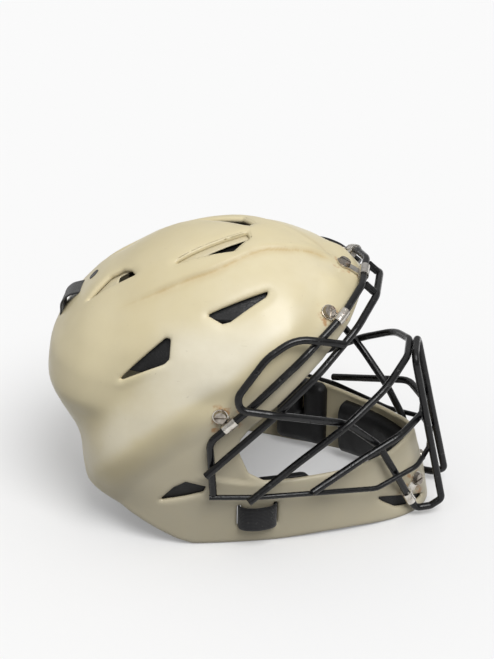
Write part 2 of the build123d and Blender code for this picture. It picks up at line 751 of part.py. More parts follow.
def anchor(frame):
    """A round fastener on a strap's far face, over a point on the skin."""
    point, outward = frame
    plane = Plane(origin=point + outward * (anchor_reach - anchor_height), z_dir=outward)
    return extrude(plane * Circle(anchor_diameter / 2), amount=anchor_height, taper=anchor_slope)


def strap_anchors(on_plate):
    """The fasteners at the straps' ends, on the rear plate or on the shell."""
    inward = anchor_share if on_plate else 1 - anchor_share
    anchors = [anchor(anchor_frame(inward))]
    z = side_strap_share * shell_height
    y = side_strap_middle_share * shell_width + side_strap_length * (inward - 1 / 2)
    for side in (-1, 1):
        point, outward = rear_frame(side * y, z, rear_inner)
        anchors.append(anchor((point, outward * -1)))
    return anchors


def export(name, shapes):
    """Writes one node, moved so that the helmet's box stands centred on the origin."""
    solids = []
    for shape in shapes:
        solids += shape.solids()
    moved = [Pos(-centre_x, 0, 0) * solid for solid in solids]
    shape = moved[0] if len(moved) == 1 else Compound(moved)
    export_step(shape, "parts/" + name + ".step")
    box = shape.bounding_box()
    print(name, len(moved), round(shape.volume), [round(v, 1) for v in (*box.min, *box.max)])


os.makedirs("parts", exist_ok=True)

# Cage paths
rim_path = bar_path(rim_shares, rim_bend_shares)
jaw_bar_path = bar_path(jaw_bar_shares, jaw_bar_bend_shares)
brow_bar_path = bar_path(brow_bar_shares, brow_bar_bend_shares)
mid_bar_path = bar_path(mid_bar_shares, mid_bar_bend_shares)
lower_bar_path = bar_path(lower_bar_shares, lower_bar_bend_shares)
ridge_path = bar_path(ridge_shares, [ridge_bend_share, ridge_corner / shell_length])
eye_bar_path = eye_path()

cage_reach = eye_bar_path.bounding_box().max.X + wire_radius
rear_reach = anchor_frame(anchor_share)[0].X - anchor_reach
centre_x = (cage_reach + rear_reach) / 2

export("cage_rim_bar", [bar(rim_path, wire_diameter)])
export("cage_jaw_bar", [bar(jaw_bar_path, thin_wire_diameter)])
export("cage_brow_bar", [bar(brow_bar_path, wire_diameter)])
export("cage_mid_bar", [bar(mid_bar_path, wire_diameter)])
export("cage_lower_bar", [bar(lower_bar_path, wire_diameter)])
export("cage_ridge_bar", [bar(ridge_path, wire_diameter)])
eye_bar = bar(eye_bar_path, wire_diameter)
export("cage_eye_bar_right", [eye_bar])
export("cage_eye_bar_left", [mirrored(eye_bar)])
export("cage_forehead_links", forehead_links())

# Clips, screws and nuts
forehead_seat = middle_frame(forehead_screw_share * shell_height)
chin_seat = side_seat(chin_screw_shares)
fastenings = {
    "clip_forehead": (rim_path, 0.5, forehead_seat, forehead_clip_length),
    "clip_temple_right": (rim_path, temple_clip_share / 2, side_seat(temple_screw_shares), clip_length),
    "clip_cheek_right": (rim_path, cheek_clip_share / 2, side_seat(cheek_screw_shares), clip_length),
    "clip_chin_right": (eye_bar_path, chin_clip_share, chin_seat, clip_length),
}
screws = []
nuts = []
small_cuts = jaw_slots()
for name, (path, share, (seat, outward), length) in fastenings.items():
    hole = extrude(Plane(origin=seat, z_dir=outward) * Circle(screw_diameter / 2 + screw_hole_gap),
                   amount=overrun / 2, both=True)
    group = [clip(path, share, seat, outward, length), screw(seat, outward), nut(seat, outward), hole]
    sides = {name: group}
    if name.endswith("right"):
        sides[name.replace("right", "left")] = [mirrored(piece) for piece in group]
    for node, (band, bolt, washer, cut) in sides.items():
        export(node, [band])
        screws.append(bolt)
        nuts.append(washer)
        small_cuts.append(cut)
export("clip_screws", screws)
export("clip_nuts", nuts)

# Shell: hollowed, then opened for the face and the neck, then vented
opening = side_prism([(x * shell_length, z * shell_height) for x, z in opening_shares],
                     opening_corner_share * shell_length)
for shares in vent_shares.values():
    vent = vent_prism(shares, vent_corner_share * shell_length)
    small_cuts += [vent, mirrored(vent)]
shell = envelope(0, False) - envelope(shell_wall, True) - opening - lower_cut() - notch_prism()
export("shell", [shell - small_cuts])

# Pads
forehead_pad = cushion(forehead_row, forehead_pad_width, forehead_pad_height, pad_thickness)
export("forehead_pad", [forehead_pad - nut_hollow(*forehead_seat)])
export("crown_pad", [cushion(crown_row, crown_pad_length, crown_pad_width, pad_thickness)])
for side_name, side in (("right", -1), ("left", 1)):
    row = side_row(temple_pad_shares, side)
    export("temple_pad_" + side_name, [cushion(row, temple_pad_length, temple_pad_height, pad_thickness)])
    ear = cushion(side_row(ear_pad_shares, side), ear_pad_length, ear_pad_height, pad_thickness)
    export("ear_pad_" + side_name, [ear])
    row = side_row(side_pad_shares, side)
    export("side_pad_" + side_name, [cushion(row, side_pad_length, side_pad_height, pad_thickness)])
    row = side_row(upper_pad_shares, side)
    export("upper_pad_" + side_name, [cushion(row, upper_pad_length, upper_pad_height, pad_thickness)])
    row = side_row(cheek_pad_shares, side)
    export("cheek_pad_" + side_name, [cushion(row, cheek_pad_length, cheek_pad_height, pad_thickness)])
    jaw = cushion(side_row(jaw_pad_shares, side), jaw_pad_length, jaw_pad_height, pad_thickness)
    export("jaw_pad_" + side_name, [jaw - pad_slot(side)])
chin_hollow = nut_hollow(*chin_seat)
export("chin_pad", [chin_pad() - [chin_hollow, mirrored(chin_hollow)]])

# Rear plate, straps and their anchors
export("rear_plate", [rear_plate()])
export("rear_pad", [rear_pad()])
export("top_strap", [top_strap()])
export("side_strap_right", [side_strap(-1)])
export("side_strap_left", [side_strap(1)])
export("jaw_loop_right", [jaw_loop(-1)])
export("jaw_loop_left", [jaw_loop(1)])
export("shell_anchors", strap_anchors(False))
export("plate_anchors", strap_anchors(True))
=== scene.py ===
import math
import bpy
import numpy as np
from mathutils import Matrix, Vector


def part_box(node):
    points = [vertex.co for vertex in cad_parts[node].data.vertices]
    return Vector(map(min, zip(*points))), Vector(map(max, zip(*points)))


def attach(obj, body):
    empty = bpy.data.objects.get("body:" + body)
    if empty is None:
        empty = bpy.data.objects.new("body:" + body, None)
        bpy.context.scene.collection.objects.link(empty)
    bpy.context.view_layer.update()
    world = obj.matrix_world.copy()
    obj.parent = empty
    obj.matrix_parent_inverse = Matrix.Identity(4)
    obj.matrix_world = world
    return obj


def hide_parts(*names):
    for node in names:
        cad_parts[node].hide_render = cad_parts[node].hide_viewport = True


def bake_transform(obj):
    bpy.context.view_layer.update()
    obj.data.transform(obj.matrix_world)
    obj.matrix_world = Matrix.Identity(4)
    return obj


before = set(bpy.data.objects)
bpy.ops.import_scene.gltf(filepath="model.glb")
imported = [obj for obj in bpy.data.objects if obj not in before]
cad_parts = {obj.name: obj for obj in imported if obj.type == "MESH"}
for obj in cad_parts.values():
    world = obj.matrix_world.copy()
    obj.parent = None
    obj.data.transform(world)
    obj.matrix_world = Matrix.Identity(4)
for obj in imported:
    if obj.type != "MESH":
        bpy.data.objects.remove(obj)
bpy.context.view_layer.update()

# Catcher helmet: finish, pads, webbing and the shell's modelled skin. Lengths are in metres.
# A share is a part of the shell's length (X), width (Y) or height (Z).

# Shell
shell_length = 0.304
shell_width = 0.212
shell_height = 0.236
shell_wall = 0.0042
sole_arch = 0.0025
lip_radius = 0.0018
grid_step = 0.0021
columns = 400
grid_start_share = -0.02
fine_rows = 1500
fine_columns = 1201

level_shares = np.array([
    (0.000, 0.490, -0.401, 0.448, -0.138, 1.30, 2.0, 2.6),
    (0.127, 0.474, -0.403, 0.472, -0.132, 1.40, 1.8, 2.6),
    (0.263, 0.449, -0.441, 0.493, -0.118, 1.60, 1.6, 2.6),
    (0.390, 0.4375, -0.485, 0.500, -0.105, 1.60, 1.8, 2.6),
    (0.500, 0.4276, -0.5115, 0.500, -0.092, 1.70, 2.0, 2.6),
    (0.593, 0.418, -0.505, 0.488, -0.0855, 1.80, 2.0, 2.5),
    (0.678, 0.395, -0.469, 0.465, -0.079, 1.90, 2.0, 2.4),
    (0.763, 0.355, -0.4145, 0.422, -0.069, 2.00, 2.0, 2.3),
    (0.8475, 0.291, -0.3454, 0.3514, -0.0526, 2.00, 2.0, 2.2),
    (0.911, 0.2105, -0.2747, 0.278, -0.033, 2.00, 2.0, 2.1),
    (0.9576, 0.140, -0.1924, 0.198, -0.0165, 2.00, 2.0, 2.1),
    (0.9873, 0.077, -0.092, 0.1014, 0.000, 2.00, 2.0, 2.0),
    (0.9979, 0.033, -0.020, 0.0377, 0.010, 2.00, 2.0, 2.0),
])
crown_share = 0.010

opening_shares = [
    (0.305, 0.833), (0.282, 0.778), (0.220, 0.690), (0.118, 0.559), (0.046, 0.475), (0.020, 0.428),
    (0.020, 0.375), (0.042, 0.293), (0.080, 0.258), (0.145, 0.250), (0.296, 0.243), (0.395, 0.254),
    (0.440, 0.272), (0.620, 0.300), (0.620, 0.833),
]
opening_corner_share = 0.022
heel_shares = [(-0.600, 0.175), (-0.395, 0.148), (-0.350, 0.135), (-0.302, 0.117), (-0.256, 0.093),
               (-0.205, 0.058), (-0.150, 0.020), (-0.106, 0.0)]
arch_shares = [(0.10, 0.0), (0.24, 1.0), (0.31, 1.0), (0.43, 0.0)]
notch_shares = [(0.152, -0.100), (0.145, 0.250), (0.132, 0.460), (0.098, 0.585)]
notch_front_share = -0.30
notch_corner_share = 0.055
vent_shares = {
    "side_front": [(-0.074, -0.360, 0.838), (0.077, -0.268, 0.897), (0.071, -0.290, 0.884),
                   (-0.012, -0.370, 0.822), (-0.032, -0.380, 0.818)],
    "side_rear": [(-0.300, -0.443, 0.610), (-0.174, -0.405, 0.768), (-0.161, -0.410, 0.765),
                  (-0.161, -0.443, 0.706), (-0.175, -0.453, 0.690)],
    "top_front": [(-0.183, -0.182, 0.928), (-0.001, -0.030, 0.998), (0.009, -0.060, 0.995),
                  (-0.026, -0.140, 0.979)],
    "top_rear": [(-0.402, -0.162, 0.758), (-0.350, -0.102, 0.837), (-0.316, -0.104, 0.867),
                 (-0.291, -0.132, 0.880), (-0.277, -0.166, 0.881), (-0.317, -0.166, 0.849)],
    "jaw": [(-0.194, -0.476, 0.180), (-0.150, -0.486, 0.245), (-0.118, -0.490, 0.270),
            (-0.066, -0.486, 0.252), (-0.075, -0.480, 0.225)],
    "chin": [(0.359, -0.223, 0.108), (0.428, -0.146, 0.079), (0.489, -0.030, 0.034),
             (0.455, -0.110, 0.030), (0.413, -0.172, 0.046), (0.383, -0.203, 0.078)],
}
vent_corner_share = 0.003

# Creases of the shell: the fold and the shelf as length and height shares, the panel as length and width
# shares. A fade is a start and the length that it takes, negative where it runs the other way.
fold_line_shares = [
    (0.240, 0.875), (0.214, 0.849), (0.158, 0.810), (0.101, 0.756), (0.040, 0.695), (0.000, 0.650),
    (-0.060, 0.601), (-0.104, 0.560), (-0.152, 0.514), (-0.216, 0.442), (-0.282, 0.362), (-0.339, 0.276),
    (-0.372, 0.200), (-0.405, 0.150), (-0.450, 0.140),
]
fold_rise = 0.0044
fold_rise_behind = 0.0036
fold_behind_share = 0.28
fold_depth = 0.0004
fold_softness = 0.0024
fold_climb = 0.034
fold_drop = 0.030
fold_reach = 0.050
fold_front = 0.015
fold_front_fade = 0.020
crease_rear_share = -0.56
crease_overrun = 0.020
crease_steps = 90
waist_depth = 0.0062
waist_place = 0.031
waist_width = 0.018
clip_clearance = 0.026
panel_line_shares = [
    (0.207, 0.014), (0.160, 0.040), (0.102, 0.084), (0.041, 0.123), (0.011, 0.153), (-0.017, 0.182),
    (-0.069, 0.225), (-0.123, 0.246), (-0.177, 0.264), (-0.236, 0.276), (-0.330, 0.275),
]
panel_rise = 0.0021
panel_width = 0.0042
panel_reach = 0.026
panel_lip = 0.0005
panel_lip_share = 0.8
panel_floor_share = 0.70
panel_floor_fade = 0.012
panel_rear_fade = 0.050
panel_front = 0.004
panel_front_fade = 0.010
shelf_line_shares = [
    (-0.099, 0.308), (-0.069, 0.299), (-0.038, 0.289), (-0.001, 0.276), (0.039, 0.263), (0.086, 0.255),
]
shelf_rise = 0.0019
shelf_width = 0.0026
shelf_reach = 0.016
shelf_rear_fade = 0.012
shelf_front_fade = 0.020
swell_rise = 0.0026
swell_behind_shares = (-0.30, -0.10)
swell_foot_shares = (0.44, 0.08)
swell_top_shares = (0.83, 0.06)
edge_fade = (-0.003, 0.012)
edge_behind_shares = (-0.24, -0.08)
vent_lip_drop = 0.0007
vent_lip_width = 0.0028
vent_reach = 0.021

# Ledge in each crown vent, which leaves a slit beside a line of length and width shares
ledge_line_shares = {"top_front": ((-0.112, -0.158), (-0.010, -0.066)),
                     "top_rear": ((-0.332, -0.107), (-0.296, -0.112))}
ledge_depth = 0.0040
ledge_margin = 0.0020
ledge_wall = 0.0014
ledge_lip = 0.00056
ledge_step = 0.0012

# Dirt and rust of the shell, painted light on its side band between the panel line and the fold, and painted
# shade under the fold
dirt_line_width = 0.0012
dirt_line_share = 0.3
dirt_haze = 0.40
dirt_haze_width = 0.0040
dirt_haze_share = 0.5
rust_width = 0.0022
# Painted light: a paler band between the panel line and the fold, held back behind, on the crown and under
# the fold
painted_light_panel_fade = (-0.002, 0.010)
painted_light_fold_fade = (0.005, -0.014)
painted_light_near_fade = (-0.055, 0.040)
painted_light_rear_share = 0.30
painted_light_rear_more_share = 0.18
painted_light_rear_fade = 0.070
painted_light_crown_shares = (0.74, 0.12)
painted_light_crown_loss = 0.7
painted_light_behind_loss = 0.40
# Painted shade under the fold, and on the shell's inner face and the vent ledges
shade_fade = (0.004, 0.026)
shade_depth = 0.9
ledge_shade = 0.5

# Length, height, corner radius and sewn channels (their two ends, from the middle) of each kind of pad
pads = {
    "forehead_pad": (0.076, 0.024, 0.008, [(-0.014, -0.008, -0.014, 0.008), (0.014, -0.008, 0.014, 0.008)]),
    "crown_pad": (0.124, 0.076, 0.022, [(-0.031, -0.022, -0.031, 0.022), (0.0, -0.022, 0.0, 0.022),
                                        (0.031, -0.022, 0.031, 0.022)]),
    "temple_pad": (0.054, 0.030, 0.012, [(0.0, -0.012, 0.0, 0.012)]),
    "side_pad": (0.0868, 0.032, 0.010, [(-0.013, -0.009, -0.013, 0.009), (0.013, -0.009, 0.013, 0.009)]),
    "upper_pad": (0.062, 0.028, 0.009, [(0.0, -0.008, 0.0, 0.008)]),
    "cheek_pad": (0.060, 0.034, 0.010, [(0.0, -0.010, 0.0, 0.010)]),
    "ear_pad": (0.064, 0.060, 0.016, [(-0.020, 0.0, 0.020, 0.0), (0.0, -0.018, 0.0, 0.018)]),
    "jaw_pad": (0.042, 0.055, 0.006, []),
    "chin_pad": (0.200, 0.046, 0.012, [(-0.034, -0.013, -0.026, 0.013), (0.034, -0.013, 0.026, 0.013),
                                       (-0.012, 0.004, 0.012, 0.004)]),
}
# Middle of the pads on both sides, as length and height shares
side_pad_shares = {
    "temple_pad": (0.072, 0.718), "side_pad": (-0.216, 0.712), "upper_pad": (-0.010, 0.872),
    "cheek_pad": (-0.132, 0.218), "ear_pad": (-0.180, 0.510), "jaw_pad": (0.124, 0.135),
}
forehead_pad_share = 0.875
crown_pad_share = -0.100
crown_pad_gap = 0.0029
chin_pad_end_share = 0.245
chin_pad_lift = 0.005
chin_pad_thickness = 0.013
pad_thickness = 0.012
pad_gap = 0.0006
pad_slot_height = 0.018
pad_slot_width = 0.003
pad_slot_corner = 0.00135
pad_slot_shares = (0.128, 0.170)
pad_step = 0.0019
pad_edge = 0.0075
pad_edge_share = 0.28
pad_crown_share = 0.10
pad_ripple = 0.00016
ripple_turns = (310, 170, 270, 140)
ripple_sways = (2, 1.7)
seam_depth = 0.0007
seam_inset = 0.0034
seam_width = 0.0006
channel_depth = 0.0026
channel_width = 0.0019
channel_lip_share = 0.25
channel_lip_place = 0.00418

# Rear plate and its pad
notch_gap = 0.003
plate_inset = 0.0006
plate_wall = 0.0036
plate_foot_share = 0.175
plate_level_shares = [(0.0, 0.80), (0.03, 0.90), (0.09, 0.97), (0.20, 1.0), (0.45, 1.0), (0.70, 1.0),
                      (0.86, 0.98), (0.94, 0.92), (0.98, 0.84), (1.0, 0.76)]
plate_step = 0.0016
plate_lip = 0.0014
plate_ridge = 0.001
plate_ridge_fade = (0.004, 0.002)
plate_vent_height = 0.030
plate_vent_width = 0.006
plate_vent_pitch = 0.022
rear_pad_thickness = 0.011
rear_pad_corner = 0.009
rear_pad_margin = 0.006
rear_pad_lift = 0.025
rear_pad_channels = [(-0.010, -0.010, 0.010, -0.010), (-0.010, 0.010, 0.010, 0.010)]

# Straps
strap_width = 0.024
strap_thickness = 0.0018
strap_bulge = 0.0075
strap_gap = 0.0003
strap_columns = 15
selvedge_fade = (0.80, 0.05)
selvedge_share = 0.18
selvedge_power = 22
selvedge_least = 0.02
top_strap_steps = 86
top_strap_end_shares = (0.475, 0.820)
top_strap_hold_shares = (0.86, 0.20)
top_strap_shares = [(0.0, 0.0), (0.09, 0.0), (0.18, 0.0), (0.27, 0.0), (0.35, 0.0), (0.42, 0.01),
                    (0.48, 0.08), (0.535, 0.45), (0.585, 0.85), (0.635, 1.0), (0.69, 0.88), (0.735, 0.52),
                    (0.775, 0.16), (0.81, 0.02), (0.85, 0.0), (0.90, 0.0), (0.95, 0.0), (1.0, 0.0)]
side_strap_steps = 41
side_strap_holds = (28, 12)
side_strap_length = 0.044
side_strap_width = 0.016
side_strap_share = 0.222
side_strap_middle_share = 0.123

# Webbing loops in the jaw, through slots; their shares are places along the loop and its bow there
slot_height = 0.022
slot_width = 0.0032
slot_pitch = 0.028
loop_height = 0.020
loop_bulge = 0.0065
loop_tilt = 0.10
loop_steps = 41
jaw_loop_shares = (0.0600, 0.118)
loop_shares = [(-1.0, -0.50), (-0.97, 0.30), (-0.62, 0.80), (0.0, 1.0), (0.62, 0.80), (0.97, 0.30),
               (1.0, -0.50)]

sides = (("right", -1), ("left", 1))
shell_size = np.array((shell_length, shell_width, shell_height))
shell_middle = np.array((0, 0, shell_height / 2))
datum_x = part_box("shell")[1].x - level_shares[0][1] * shell_length
wall_inset = shell_wall + pad_gap
plate_foot = plate_foot_share * shell_height
plate_top = notch_shares[-1][1] * shell_height - notch_gap

# How the surfaces are worked out and cut into triangles
probe = shell_wall / 8
tiny = 1e-9
halvings = 30
exponent_limit = 30
fillet_steps = 5
fillet_limit_share = 0.48
upright = 0.7
least_slope = 0.25
snap_share = 0.28
lip_row = 0.00054
lip_snaps = (0.000216, 0.00018)


# Small helpers

def smoothstep(t):
    t = np.clip(t, 0, 1)
    return t * t * (3 - 2 * t)


def fade(value, start, run):
    """From nought at a start to one a run further on; a negative run goes down from the start."""
    return smoothstep((value - start) / run)


def bell(offset, width):
    return np.exp(-(offset / width) ** 2)


def unit(vectors):
    return vectors / np.linalg.norm(vectors, axis=-1, keepdims=True)


def summed(steps):
    return np.concatenate([[0], np.cumsum(steps)])


def hermite(places, values, bends, at):
    """Values and slopes, at places, of the smooth curve that has given values and slopes."""
    k = np.clip(np.searchsorted(places, at) - 1, 0, len(places) - 2)
    shape = k.shape + (1,) * (values.ndim - 1)
    span = (places[k + 1] - places[k]).reshape(shape)
    t = np.clip((at - places[k]).reshape(shape) / span, 0, 1)
    curve = ((1 + 2 * t) * (1 - t) ** 2 * values[k] + t * (1 - t) ** 2 * span * bends[k]
             + t ** 2 * (3 - 2 * t) * values[k + 1] - t ** 2 * (1 - t) * span * bends[k + 1])
    slope = (6 * t * (1 - t) * (values[k + 1] - values[k]) / span + (1 - t) * (1 - 3 * t) * bends[k]
             + t * (3 * t - 2) * bends[k + 1])
    return curve, slope


def line_gap(p, q, a, b):
    """Distance of points (p, q) from the straight line between two points."""
    run, rise = b[0] - a[0], b[1] - a[1]
    t = np.clip(((p - a[0]) * run + (q - a[1]) * rise) / max(run ** 2 + rise ** 2, tiny ** 2), 0, 1)
    return np.hypot(p - a[0] - t * run, q - a[1] - t * rise)


# Shape of the skin

def smooth_levels(share):
    """Level sizes at height shares, on smooth curves that never overshoot."""
    heights = level_shares[:, 0]
    values = level_shares[:, 1:]
    steps = np.diff(heights)
    slopes = np.diff(values, axis=0) / steps[:, None]
    bends = np.zeros_like(values)
    bends[0], bends[-1] = slopes[0], slopes[-1]
    before, after = steps[:-1, None], steps[1:, None]
    first, second = slopes[:-1], slopes[1:]
    same = first * second > 0
    weight_a, weight_b = 2 * after + before, after + 2 * before
    parts = weight_a / np.where(same, first, 1) + weight_b / np.where(same, second, 1)
    bends[1:-1] = np.where(same, (weight_a + weight_b) / parts, 0)
    share = np.atleast_1d(np.asarray(share, float))
    under = values[0] + (share[:, None] - heights[0]) * bends[0]
    return np.where(share[:, None] < heights[0], under, hermite(heights, values, bends, share)[0])


def level_sizes(z, inset=0.0):
    """Front, rear, half width, widest place and powers at heights, drawn in by an inset."""
    share = np.minimum(np.asarray(z, float) / (shell_height - inset), level_shares[-1, 0])
    sizes = smooth_levels(share)
    front = sizes[:, 0] * shell_length - inset
    rear = sizes[:, 1] * shell_length + inset
    half = sizes[:, 2] * shell_width - inset
    return front, rear, half, sizes[:, 3] * shell_length, sizes[:, 4], sizes[:, 5], sizes[:, 6]


def skin_y(x, z, inset=0.0):
    """Half width of the skin at lengths and heights."""
    x = np.atleast_1d(x)
    sizes = level_sizes(np.broadcast_to(z, x.shape), inset)
    front, rear, half, widest, front_power, cross_power, rear_power = sizes
    u = np.clip((x - widest) / (front - widest), 0, 1)
    w = np.clip((x - widest) / (rear - widest), 0, 1)
    ahead = half * (1 - u ** front_power) ** (1 / cross_power)
    behind = half * (1 - w ** rear_power) ** (1 / rear_power)
    return np.where(x >= widest, ahead, behind)


def end_x(y, z, inset=0.0, behind=True):
    """Length of the skin behind or in front, at widths and heights."""
    y = np.atleast_1d(y)
    sizes = level_sizes(np.broadcast_to(z, y.shape), inset)
    front, rear, half, widest, front_power, cross_power, rear_power = sizes
    v = np.clip(abs(y) / half, 0, 1)
    if behind:
        return widest - (widest - rear) * (1 - v ** rear_power) ** (1 / rear_power)
    return widest + (front - widest) * (1 - v ** cross_power) ** (1 / front_power)


def top_z(x, y, inset=0.0):
    """Height of the skin on top, at lengths and widths, found by halving."""
    x, y = np.broadcast_arrays(np.asarray(x, float), np.asarray(y, float))
    flat_x, flat_y = x.ravel(), abs(y.ravel())
    low = np.full(flat_x.shape, shell_height / 2)
    high = np.full(flat_x.shape, (shell_height - inset) * level_shares[-1, 0])
    for _ in range(halvings):
        z = (low + high) / 2
        front, rear = level_sizes(z, inset)[:2]
        within = (flat_x > rear) & (flat_x < front) & (skin_y(flat_x, z, inset) > flat_y)
        low = np.where(within, z, low)
        high = np.where(within, high, z)
    return low.reshape(x.shape)


def side_wall(side, start=(0, 0), inset=0.0):
    """A side of the skin, as a function of lengths and heights from a start."""
    def wall(u, v):
        x, z = start[0] + u, start[1] + v
        return np.stack([x, side * skin_y(x, z, inset), z], -1)
    return wall


def rear_wall(inset):
    """The skin behind, as a function of widths and heights."""
    def wall(u, v):
        return np.stack([end_x(u, v, inset), u, v], -1)
    return wall


def top_wall(start, inset=0.0):
    """The skin on top, as a function of lengths and widths from a start."""
    def wall(u, v):
        x, y = start[0] + u, start[1] + v
        return np.stack([x, y, top_z(x, y, inset)], -1)
    return wall


def laid(wall, u, v, outward=False):
    """Points of a wall, the directions off it, and minus one where they go against the wall's own."""
    point = wall(u, v)
    along, up = wall(u + probe, v) - wall(u - probe, v), wall(u, v + probe) - wall(u, v - probe)
    normal = unit(np.cross(along, up))
    inward = np.mean(np.sum(normal * (shell_middle - point), axis=1)) > 0
    turn = 1.0 if inward != outward else -1.0
    return point, normal * turn, turn


# Outlines as signed distances, positive outside

def filleted(points, radius):
    """A closed outline with its corners rounded."""
    points = [np.array(p, float) for p in points]
    outline = []
    for i, corner in enumerate(points):
        a, b = points[i - 1] - corner, points[(i + 1) % len(points)] - corner
        room = fillet_limit_share * min(np.linalg.norm(a), np.linalg.norm(b))
        a, b = unit(a), unit(b)
        half = math.acos(np.clip(np.dot(a, b), -1, 1)) / 2
        cut = min(radius / math.tan(half), room)
        centre = corner + unit(a + b) * cut * math.tan(half) / math.sin(half)
        first, last = corner + a * cut - centre, corner + b * cut - centre
        turn = math.atan2(first[0] * last[1] - first[1] * last[0], np.dot(first, last))
        for k in range(fillet_steps + 1):
            c, s = math.cos(turn * k / fillet_steps), math.sin(turn * k / fillet_steps)
            outline.append(centre + np.array([first[0] * c - first[1] * s, first[0] * s + first[1] * c]))
    return np.array(outline)


def outline_distance(p, q, outline):
    """Signed distance of points (p, q) from a closed outline, negative inside."""
    nearest = np.full(p.shape, np.inf)
    inside = np.zeros(p.shape, bool)
    for i in range(len(outline)):
        a, b = outline[i - 1], outline[i]
        nearest = np.minimum(nearest, line_gap(p, q, a, b))
        if abs(b[1] - a[1]) > tiny ** 2:
            crosses = (a[1] > q) != (b[1] > q)
            inside ^= crosses & (p < a[0] + (q - a[1]) * (b[0] - a[0]) / (b[1] - a[1]))
    return np.where(inside, -nearest, nearest)


def vent_plane(shares):
    """Centre, two directions and normal of a vent's plane, with its outline there."""
    points = np.array(shares) * shell_size
    centre = points.mean(0)
    normal = unit(sum(np.cross(points[i - 1] - centre, points[i] - centre) for i in range(len(points))))
    across = unit(np.cross(normal, (0, 0, 1)))
    up = np.cross(normal, across)
    local = [((p - centre) @ across, (p - centre) @ up) for p in points]
    return centre, across, up, normal, filleted(local, vent_corner_share * shell_length)


opening_outline = filleted(np.array(opening_shares) * shell_size[[0, 2]], opening_corner_share * shell_length)
notch_side = (np.array(notch_shares) * shell_size[1:]).tolist()
notch_outline = filleted(notch_side + [(-y, z) for y, z in reversed(notch_side)],
                         notch_corner_share * shell_width)
vent_planes = {name: vent_plane(shares) for name, shares in vent_shares.items()}


def slot_distance(points, x, z, height, width):
    """Signed distance from an upright slot in the right side."""
    centre, outward = laid(side_wall(-1), np.array([x]), np.array([z]), outward=True)[:2]
    across = unit(np.cross((0, 0, 1), outward[0]))
    offset = points - centre
    rise = np.maximum(abs(offset[..., 2]) - (height - width) / 2, 0)
    return np.hypot(rise, offset @ across) - width / 2


def broken_line(x, shares, size):
    """Height at lengths of a line with corners."""
    places, heights = (np.array(shares) * (shell_length, size)).T
    return np.interp(x, places, heights)


def vent_distance(points, name):
    """Signed distance from a vent's edge, for points near its plane."""
    centre, across, up, normal, outline = vent_planes[name]
    offset = points - centre
    distance = outline_distance(offset @ across, offset @ up, outline)
    return np.where(abs(offset @ normal) < vent_reach, distance, np.inf)


def shell_field(points):
    """Distance from the nearest edge of the shell, positive on the shell."""
    x, y, z = points[..., 0], points[..., 1], points[..., 2]
    right = np.stack([x, -abs(y), z], -1)
    floor = broken_line(x, heel_shares, shell_height) + broken_line(x, arch_shares, sole_arch)
    field = np.minimum(outline_distance(x, z, opening_outline), z - floor)
    notch = outline_distance(y, z, notch_outline)
    field = np.minimum(field, np.where(x < notch_front_share * shell_length, notch, np.inf))
    for name in vent_planes:
        field = np.minimum(field, vent_distance(right, name))
    jaw_x, jaw_z = jaw_loop_shares[0] * shell_length, jaw_loop_shares[1] * shell_height
    near = (z < shell_height / 4) & (x > -slot_pitch) & (x < 2 * slot_pitch)
    for end in (-1, 1):
        slot = slot_distance(right, jaw_x + end * slot_pitch / 2, jaw_z, slot_height, slot_width)
        field = np.minimum(field, np.where(near, slot, np.inf))
    return field


# Sheets of triangles, cut along the zero line of a field

def grid_triangles(rows, cols, closed):
    """Triangles of a grid; closed joins the last column to the first."""
    i, j = np.meshgrid(np.arange(rows - 1), np.arange(cols if closed else cols - 1), indexing="ij")
    a, b = i * cols + j, i * cols + (j + 1) % cols
    c, d = b + cols, a + cols
    return np.concatenate([np.stack([a, b, c], -1).reshape(-1, 3), np.stack([a, c, d], -1).reshape(-1, 3)])


